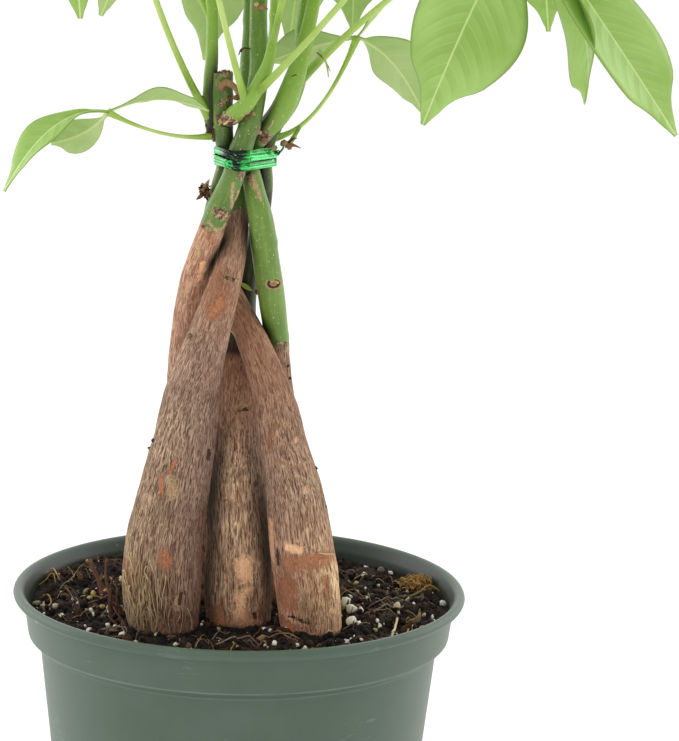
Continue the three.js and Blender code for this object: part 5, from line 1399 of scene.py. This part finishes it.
def bladeHalfWidth(along, width, shoulder):
    past = np.clip((along - blade["stalkShare"]) / (1 - blade["stalkShare"]), 0, 1)
    oval = np.maximum(0, np.sin(math.pi * past ** shoulder)) ** 0.95
    tip = np.where(past > 0.82, 1 - 0.3 * np.sin(math.pi * (past - 0.82) / 0.18), 1)
    return np.where(along <= blade["stalkShare"], blade["stalkHalfWidth"],
                    np.maximum(blade["stalkHalfWidth"], width / 2 * oval * tip))


def bladeGrid(hub, leaflet, along, side):
    # middle surface of a leaflet with its normals, for rows along it and columns across it
    along, side = vec(along)[:, None], vec(side)[None, :]
    centre = bezier(hub, leaflet["bend"], leaflet["tip"], along)
    tangent = bezierTangent(hub, leaflet["bend"], leaflet["tip"], along)
    across = np.cross(leaflet["tip"] - hub, leaflet["face"])
    across = unit(across - tangent * (tangent @ across)[..., None])
    normal = np.cross(across, tangent)
    half = bladeHalfWidth(along, leaflet["width"], leaflet["shoulder"])
    fold = 0.3 * (1 - along * 0.5)
    wave = 1.1 * np.sin(along * 11 + leaflet["phase"] + side) * side * side * np.minimum(1, half / 8)
    point = (centre + across * (side * half * np.cos(fold))[..., None]
             + normal * (np.abs(side) * half * np.sin(fold) + wave)[..., None])
    return point, np.broadcast_to(normal, point.shape), half


class Taken:
    # places that stems, stalks and leaflets already hold
    def __init__(self):
        self.rows = []

    def add(self, points, radius, owner, kind):
        points = vec(points).reshape(-1, 3)
        radius = np.broadcast_to(vec(radius), (len(points),))
        self.rows.append((points, radius, np.full(len(points), owner), np.full(len(points), kind)))

    def clear(self, points, margin, ignore):
        for place, radius, owner, kind in self.rows:
            low, high = points.min(0) - margin - radius.max(), points.max(0) + margin + radius.max()
            near = ((place > low) & (place < high)).all(1)
            if not near.any():
                continue
            gap = points[:, None] - place[near][None]
            hit = (gap ** 2).sum(-1) < (margin + radius[near]) ** 2
            if (hit & ~ignore(owner[near], kind[near])).any():
                return False
        return True


def stalkPoints(leaf):
    count = math.ceil(np.linalg.norm(leaf["hub"] - leaf["base"]) / 4)
    return bezier(leaf["base"], leaf["bend"], leaf["hub"], np.arange(1, count + 1) / count)


def bendStalkClear(leaf, taken):
    outward = leaf["hub"] - leaf["base"]
    sideways = unit(vec([-outward[1], outward[0], 0]))
    first = leaf["bend"]
    for shift in canopy["shifts"]:
        leaf["bend"] = first + sideways * shift
        points = stalkPoints(leaf)
        near = (np.linalg.norm(points - leaf["base"], axis=1) < canopy["atBase"])[:, None]

        def ignore(owner, kind):
            return (owner == leaf["stem"])[None] | (near & (kind == "stalk")[None])

        if taken.clear(points, canopy["stalkGap"], ignore):
            return
    leaf["bend"] = first


def bladeProbe(leaf, leaflet):
    return bladeGrid(leaf["hub"], leaflet, np.arange(1, 14) / 13, np.arange(-3, 4) / 3)[0].reshape(-1, 3)


def growLeaflet(leaf, place, draw, taken):
    hub = leaf["hub"]
    count = leaf["count"]
    outer = abs(place - (count - 1) / 2) / ((count - 1) / 2)
    fan = 1.62 * math.pi / count
    for attempt in range(canopy["tries"]):
        turn = leaf["azimuth"] + (place - (count - 1) / 2) * fan + (draw() - 0.5) * (0.2 + attempt * 0.02)
        length = leaf["length"] * (1 - 0.28 * outer * outer) * (0.94 + 0.12 * draw()) * (1 - attempt * 0.013)
        lift = 0.3 + (draw() - 0.5) * 0.5
        droop = -0.3 + (draw() - 0.5) * 0.75
        outward = vec([math.cos(turn), math.sin(turn), 0])
        face = vec([0, 0, 1]) + outward * 0.15 + vec([-outward[1], outward[0], 0]) * ((draw() - 0.5) * 0.7)
        leaflet = {
            "bend": hub + outward * (length * 0.5 * math.cos(lift))
            + vec([0, 0, length * 0.5 * math.sin(lift)]),
            "tip": hub + outward * (length * math.cos(droop)) + vec([0, 0, length * math.sin(droop)]),
            "face": face, "width": length * blade["widthRatio"], "shoulder": blade["usualShoulder"],
            "phase": draw() * 6,
        }
        points = bladeProbe(leaf, leaflet)
        fromHub = np.linalg.norm(points - hub, axis=1)[:, None]

        def ignore(owner, kind):
            atHub = (owner == leaf["name"])[None] & (fromHub < canopy["atHub"])
            return atHub | ((kind != "blade")[None] & (fromHub < canopy["atStalk"]))

        if points[:, 2].min() > canopy["skirt"] and taken.clear(points, canopy["bladeGap"], ignore):
            taken.add(points, canopy["bladeGap"], leaf["name"], "blade")
            return leaflet
    return None


def layOutLeaves():
    taken = Taken()
    for name, rows in stemLines.items():
        share = np.arange(len(rows) * 5 + 1) / (len(rows) * 5)
        points, radius = stemPoint(name, share), stemRadius(name, share)
        high = points[:, 2] > canopy["stemsFrom"]
        taken.add(points[high], radius[high], name, "stem")
    leaves = []
    for i, leaf in enumerate(frontLeaves):
        leaflets = [{"bend": vec(bend), "tip": vec(tip), "face": vec(face), "width": width, "phase": i + j * 2,
                     "shoulder": shoulder[0] if shoulder else blade["usualShoulder"]}
                    for j, (bend, tip, face, width, *shoulder) in enumerate(leaf["blades"])]
        leaves.append({"name": "leaf_" + leaf["name"], "stem": leaf["stem"], "from": leaf["from"],
                       "bend": vec(leaf["bend"]),
                       "hub": vec(leaf["hub"]), "girth": leaf.get("girth", blade["usualGirth"]),
                       "leaflets": leaflets})
    for i, (stem, start, x, y, z, count, length) in enumerate(canopyLeaves):
        leaves.append({"name": f"leaf_canopy_{i + 1}", "stem": stem, "from": start, "hub": vec([x, y, z]),
                       "count": count,
                       "length": length, "girth": blade["usualGirth"], "leaflets": []})
    for leaf in leaves:
        share = stemShare(leaf["stem"], leaf["from"])
        leaf["base"] = stemPoint(leaf["stem"], share)
        leaf["swollen"] = min(1.9, 0.8 * float(stemRadius(leaf["stem"], share)))
        out = leaf["hub"] - leaf["base"]
        leaf["azimuth"] = math.atan2(out[1], out[0])
        if "bend" not in leaf:
            leaf["bend"] = leaf["base"] + out * 0.45
            leaf["bend"][2] += 0.1 * np.linalg.norm(out)
            bendStalkClear(leaf, taken)
        taken.add(stalkPoints(leaf), canopy["stalkRadius"], leaf["name"], "stalk")
    for leaf in leaves:
        for leaflet in leaf["leaflets"]:
            taken.add(bladeProbe(leaf, leaflet), canopy["bladeGap"], leaf["name"], "blade")
    for i, leaf in enumerate(leaves):
        draw = seededRandom(101 + i * 17)
        for place in range(leaf.get("count", 0)):
            leaflet = growLeaflet(leaf, place, draw, taken)
            if leaflet:
                leaf["leaflets"].append(leaflet)
    return leaves


def leafletShape(hub, leaflet):
    along = np.linspace(0, 1, blade["rows"] + 1)
    outer = np.linspace(0.08, 1, blade["columns"])
    side = np.concatenate([-outer[::-1], [-0.035, 0, 0.035], outer])
    point, normal, half = bladeGrid(hub, leaflet, along, side)
    rows, columns = point.shape[:2]
    chord = np.linalg.norm(leaflet["tip"] - leaflet["bend"]) + np.linalg.norm(leaflet["bend"] - hub)
    fromRib = np.abs(side)[None, :] * half
    halfAll = np.broadcast_to(half, fromRib.shape)
    spacing = 5.6 + 0.016 * chord
    vein = (along[:, None] * chord - (0.5 * fromRib + 0.55 * fromRib ** 2 / np.maximum(halfAll, 1))) / spacing
    # the rib stands proud below and lies in a groove above
    rib = np.exp(-(fromRib / 0.8) ** 2) * (1 - 0.75 * along[:, None])
    top = point + normal * (blade["thickness"] / 2 - 0.18 * rib)[..., None]
    below = point - normal * (blade["thickness"] / 2 + 0.42 * rib)[..., None]
    points = np.concatenate([top.reshape(-1, 3), below.reshape(-1, 3)])
    i = (np.arange(rows - 1) * columns)[:, None]
    j = np.arange(columns - 1)[None, :]
    up = np.stack([i + j, i + j + 1, i + j + 1 + columns, i + j + columns], -1).reshape(-1, 4)
    size = rows * columns
    down = up[:, ::-1] + size
    rim = list(range(columns)) + [r * columns + columns - 1 for r in range(1, rows)]
    rim += [size - columns + c for c in range(columns - 2, -1, -1)]
    rim += [r * columns for r in range(rows - 2, 0, -1)]
    edge = [[b, a, a + size, b + size] for a, b in zip(rim, rim[1:] + rim[:1])]
    one = np.stack([vein, fromRib, halfAll], -1).reshape(-1, 3)
    length = np.broadcast_to(along[:, None], fromRib.shape).reshape(-1)
    values = {
        "vein": np.concatenate([one, one]), "under": np.concatenate([np.zeros(size), np.ones(size)]),
        "along": np.concatenate([length, length]),
    }
    return points, up.tolist() + down.tolist() + edge, 0, values


def stalkShape(leaf):
    t = np.linspace(0, 1, 41)
    path = bezier(leaf["base"], leaf["bend"], leaf["hub"], t)
    radii = leaf["girth"] + (leaf["swollen"] - leaf["girth"]) * (1 - t) ** 6 + 0.85 * t ** 10
    return tube(path, radii, 10) + (1, {"along": np.repeat(t, 10)})


leafColours = {
    "upper": "#9bbf5c", "upperPale": "#add075", "upperFlankShade": "#90b650", "upperVein": "#bcd588",
    "rib": "#d6e69c", "under": "#adc87c", "underPale": "#c0d493", "underVein": "#cbdca8", "edge": "#7f9c49",
    "stalk": "#a9c659", "stalkPale": "#cce287", "stalkDark": "#7b9e3c",
}


def leafMaterial(look):
    # money tree leaf, living: satin upper side, paler and duller underside, a pale rib and arched side veins
    material, shader, add = newMaterial("moneyTreeLeaf", {"IOR": 1.42, "Roughness": 0.45})
    vein = add("Attribute", {"attribute_name": "vein"})
    under = add("Attribute", {"attribute_name": "under"}).outputs["Fac"]
    along = add("Attribute", {"attribute_name": "along"}).outputs["Fac"]
    split = add("SeparateXYZ", {0: vein.outputs["Vector"]})
    fraction = add("Math", {"operation": "FRACT", 0: split})
    centred = add("Math", {"operation": "SUBTRACT", 1: 0.5, 0: fraction})
    distance = add("Math", {"operation": "ABSOLUTE", 0: centred})
    # side veins 0.35 mm wide on a 7 mm spacing, fading towards the rim
    line = add("MapRange", {"interpolation_type": "SMOOTHSTEP", "From Min": 0.05, "From Max": 0.0,
                            "To Max": 0.45, "Value": distance})
    outward = add("Math", {"operation": "DIVIDE", 0: split.outputs[1], 1: split.outputs[2]})
    fade = add("MapRange", {"From Min": 0.92, "From Max": 0.45, "Value": outward})
    sideVein = add("Math", {"operation": "MULTIPLY", 0: line, 1: fade})
    # the rib is 1.2 mm wide at the base and 0.4 mm at the tip
    ribWidth = add("MapRange", {"To Min": 0.8, "To Max": 0.35, "Value": along})
    rib = add("MapRange", {"interpolation_type": "SMOOTHSTEP", "From Min": 0.2, "To Min": 0.9, "To Max": 0.0,
                           "Value": split.outputs[1], "From Max": ribWidth})
    place = add("TexCoord")
    # drifts of tone 22 mm wide
    cloud = add("TexNoise", {"Scale": 45.0, "Detail": 3.0, "Roughness": 0.55,
                             "Vector": place.outputs["Object"]})
    cells = add("TexNoise", {"Scale": 700.0, "Detail": 2.0, "Vector": place.outputs["Object"]})
    upper = add("ValToRGB", {"stops": [(0.35, look["upper"]), (0.68, look["upperPale"])], "Fac": cloud})
    lower = add("ValToRGB", {"stops": [(0.35, look["under"]), (0.68, look["underPale"])], "Fac": cloud})
    # between two side veins the blade is darker on one flank and lighter on the other: painted shade and light
    # of the quilted blade
    flankShade = add("MapRange", {"From Min": -0.5, "From Max": 0.5, "To Max": 0.5, "Value": centred})
    flankShadeFaded = add("Math", {"operation": "MULTIPLY", 0: flankShade, 1: fade})
    for amount, colour in ((flankShadeFaded, look["upperFlankShade"]), (sideVein, look["upperVein"])):
        upper = add("Mix", {"data_type": "RGBA", 0: amount, 6: upper, 7: colour})
    lower = add("Mix", {"data_type": "RGBA", 0: sideVein, 6: lower, 7: look["underVein"]})
    rim = add("MapRange", {"From Min": 0.955, "From Max": 1.0, "To Max": 0.75, "Value": outward})
    tone = upper
    for amount, colour in ((under, lower), (rib, look["rib"]), (rim, look["edge"])):
        tone = add("Mix", {"data_type": "RGBA", 0: amount, 6: tone, 7: colour})
    feed(shader, "Base Color", tone)
    feed(shader, "Roughness", add("MapRange", {"To Min": 0.42, "To Max": 0.62, "Value": under}))
    swell = add("Math", {"operation": "MULTIPLY", 0: distance, 1: fade})
    height = add("Math", {"operation": "MULTIPLY_ADD", 1: 0.05, 0: cells, 2: swell})
    feed(shader, "Normal", add("Bump", {"Strength": 0.5, "Distance": 0.0009, "Height": height}))
    return material


def stalkMaterial(look):
    # leaf stalk, living: smooth and juicy, darker where it swells
    material, shader, add = newMaterial("moneyTreeLeafStalk", {"IOR": 1.42, "Roughness": 0.4})
    along = add("Attribute", {"attribute_name": "along"})
    place = add("TexCoord")
    cloud = add("TexNoise", {"Scale": 120.0, "Detail": 2.0, "Vector": place.outputs["Object"]})
    both = add("Math", {"operation": "MULTIPLY_ADD", 1: 0.4, 0: cloud, 2: along.outputs["Fac"]})
    stops = [(0.15, look["stalkDark"]), (0.35, look["stalk"]), (0.8, look["stalkPale"]), (1.0, look["stalk"])]
    feed(shader, "Base Color", add("ValToRGB", {"stops": stops, "Fac": both}))
    feed(shader, "Normal", add("Bump", {"Strength": 0.3, "Distance": 0.0003, "Height": cloud}))
    return material


leafSkin, stalkSkin = leafMaterial(leafColours), stalkMaterial(leafColours)
leaflets = 0
for leaf in layOutLeaves():
    shapes = [leafletShape(leaf["hub"], leaflet) for leaflet in leaf["leaflets"]] + [stalkShape(leaf)]
    leaflets += len(leaf["leaflets"])
    piece = makePiece(leaf["name"].replace("leaf_", "foliage_"), shapes, [leafSkin, stalkSkin],
                      [leaf["name"]])
    low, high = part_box(leaf["name"])
    corners = vec([list(v.co) for v in piece.data.vertices])
    miss = max(np.abs(corners.min(0) - vec(low)).max(), np.abs(corners.max(0) - vec(high)).max()) / metre
    if miss > 3:
        print("leaf off its solid:", leaf["name"], round(miss, 1), "mm")
print("leaves ready:", leaflets, "leaflets")
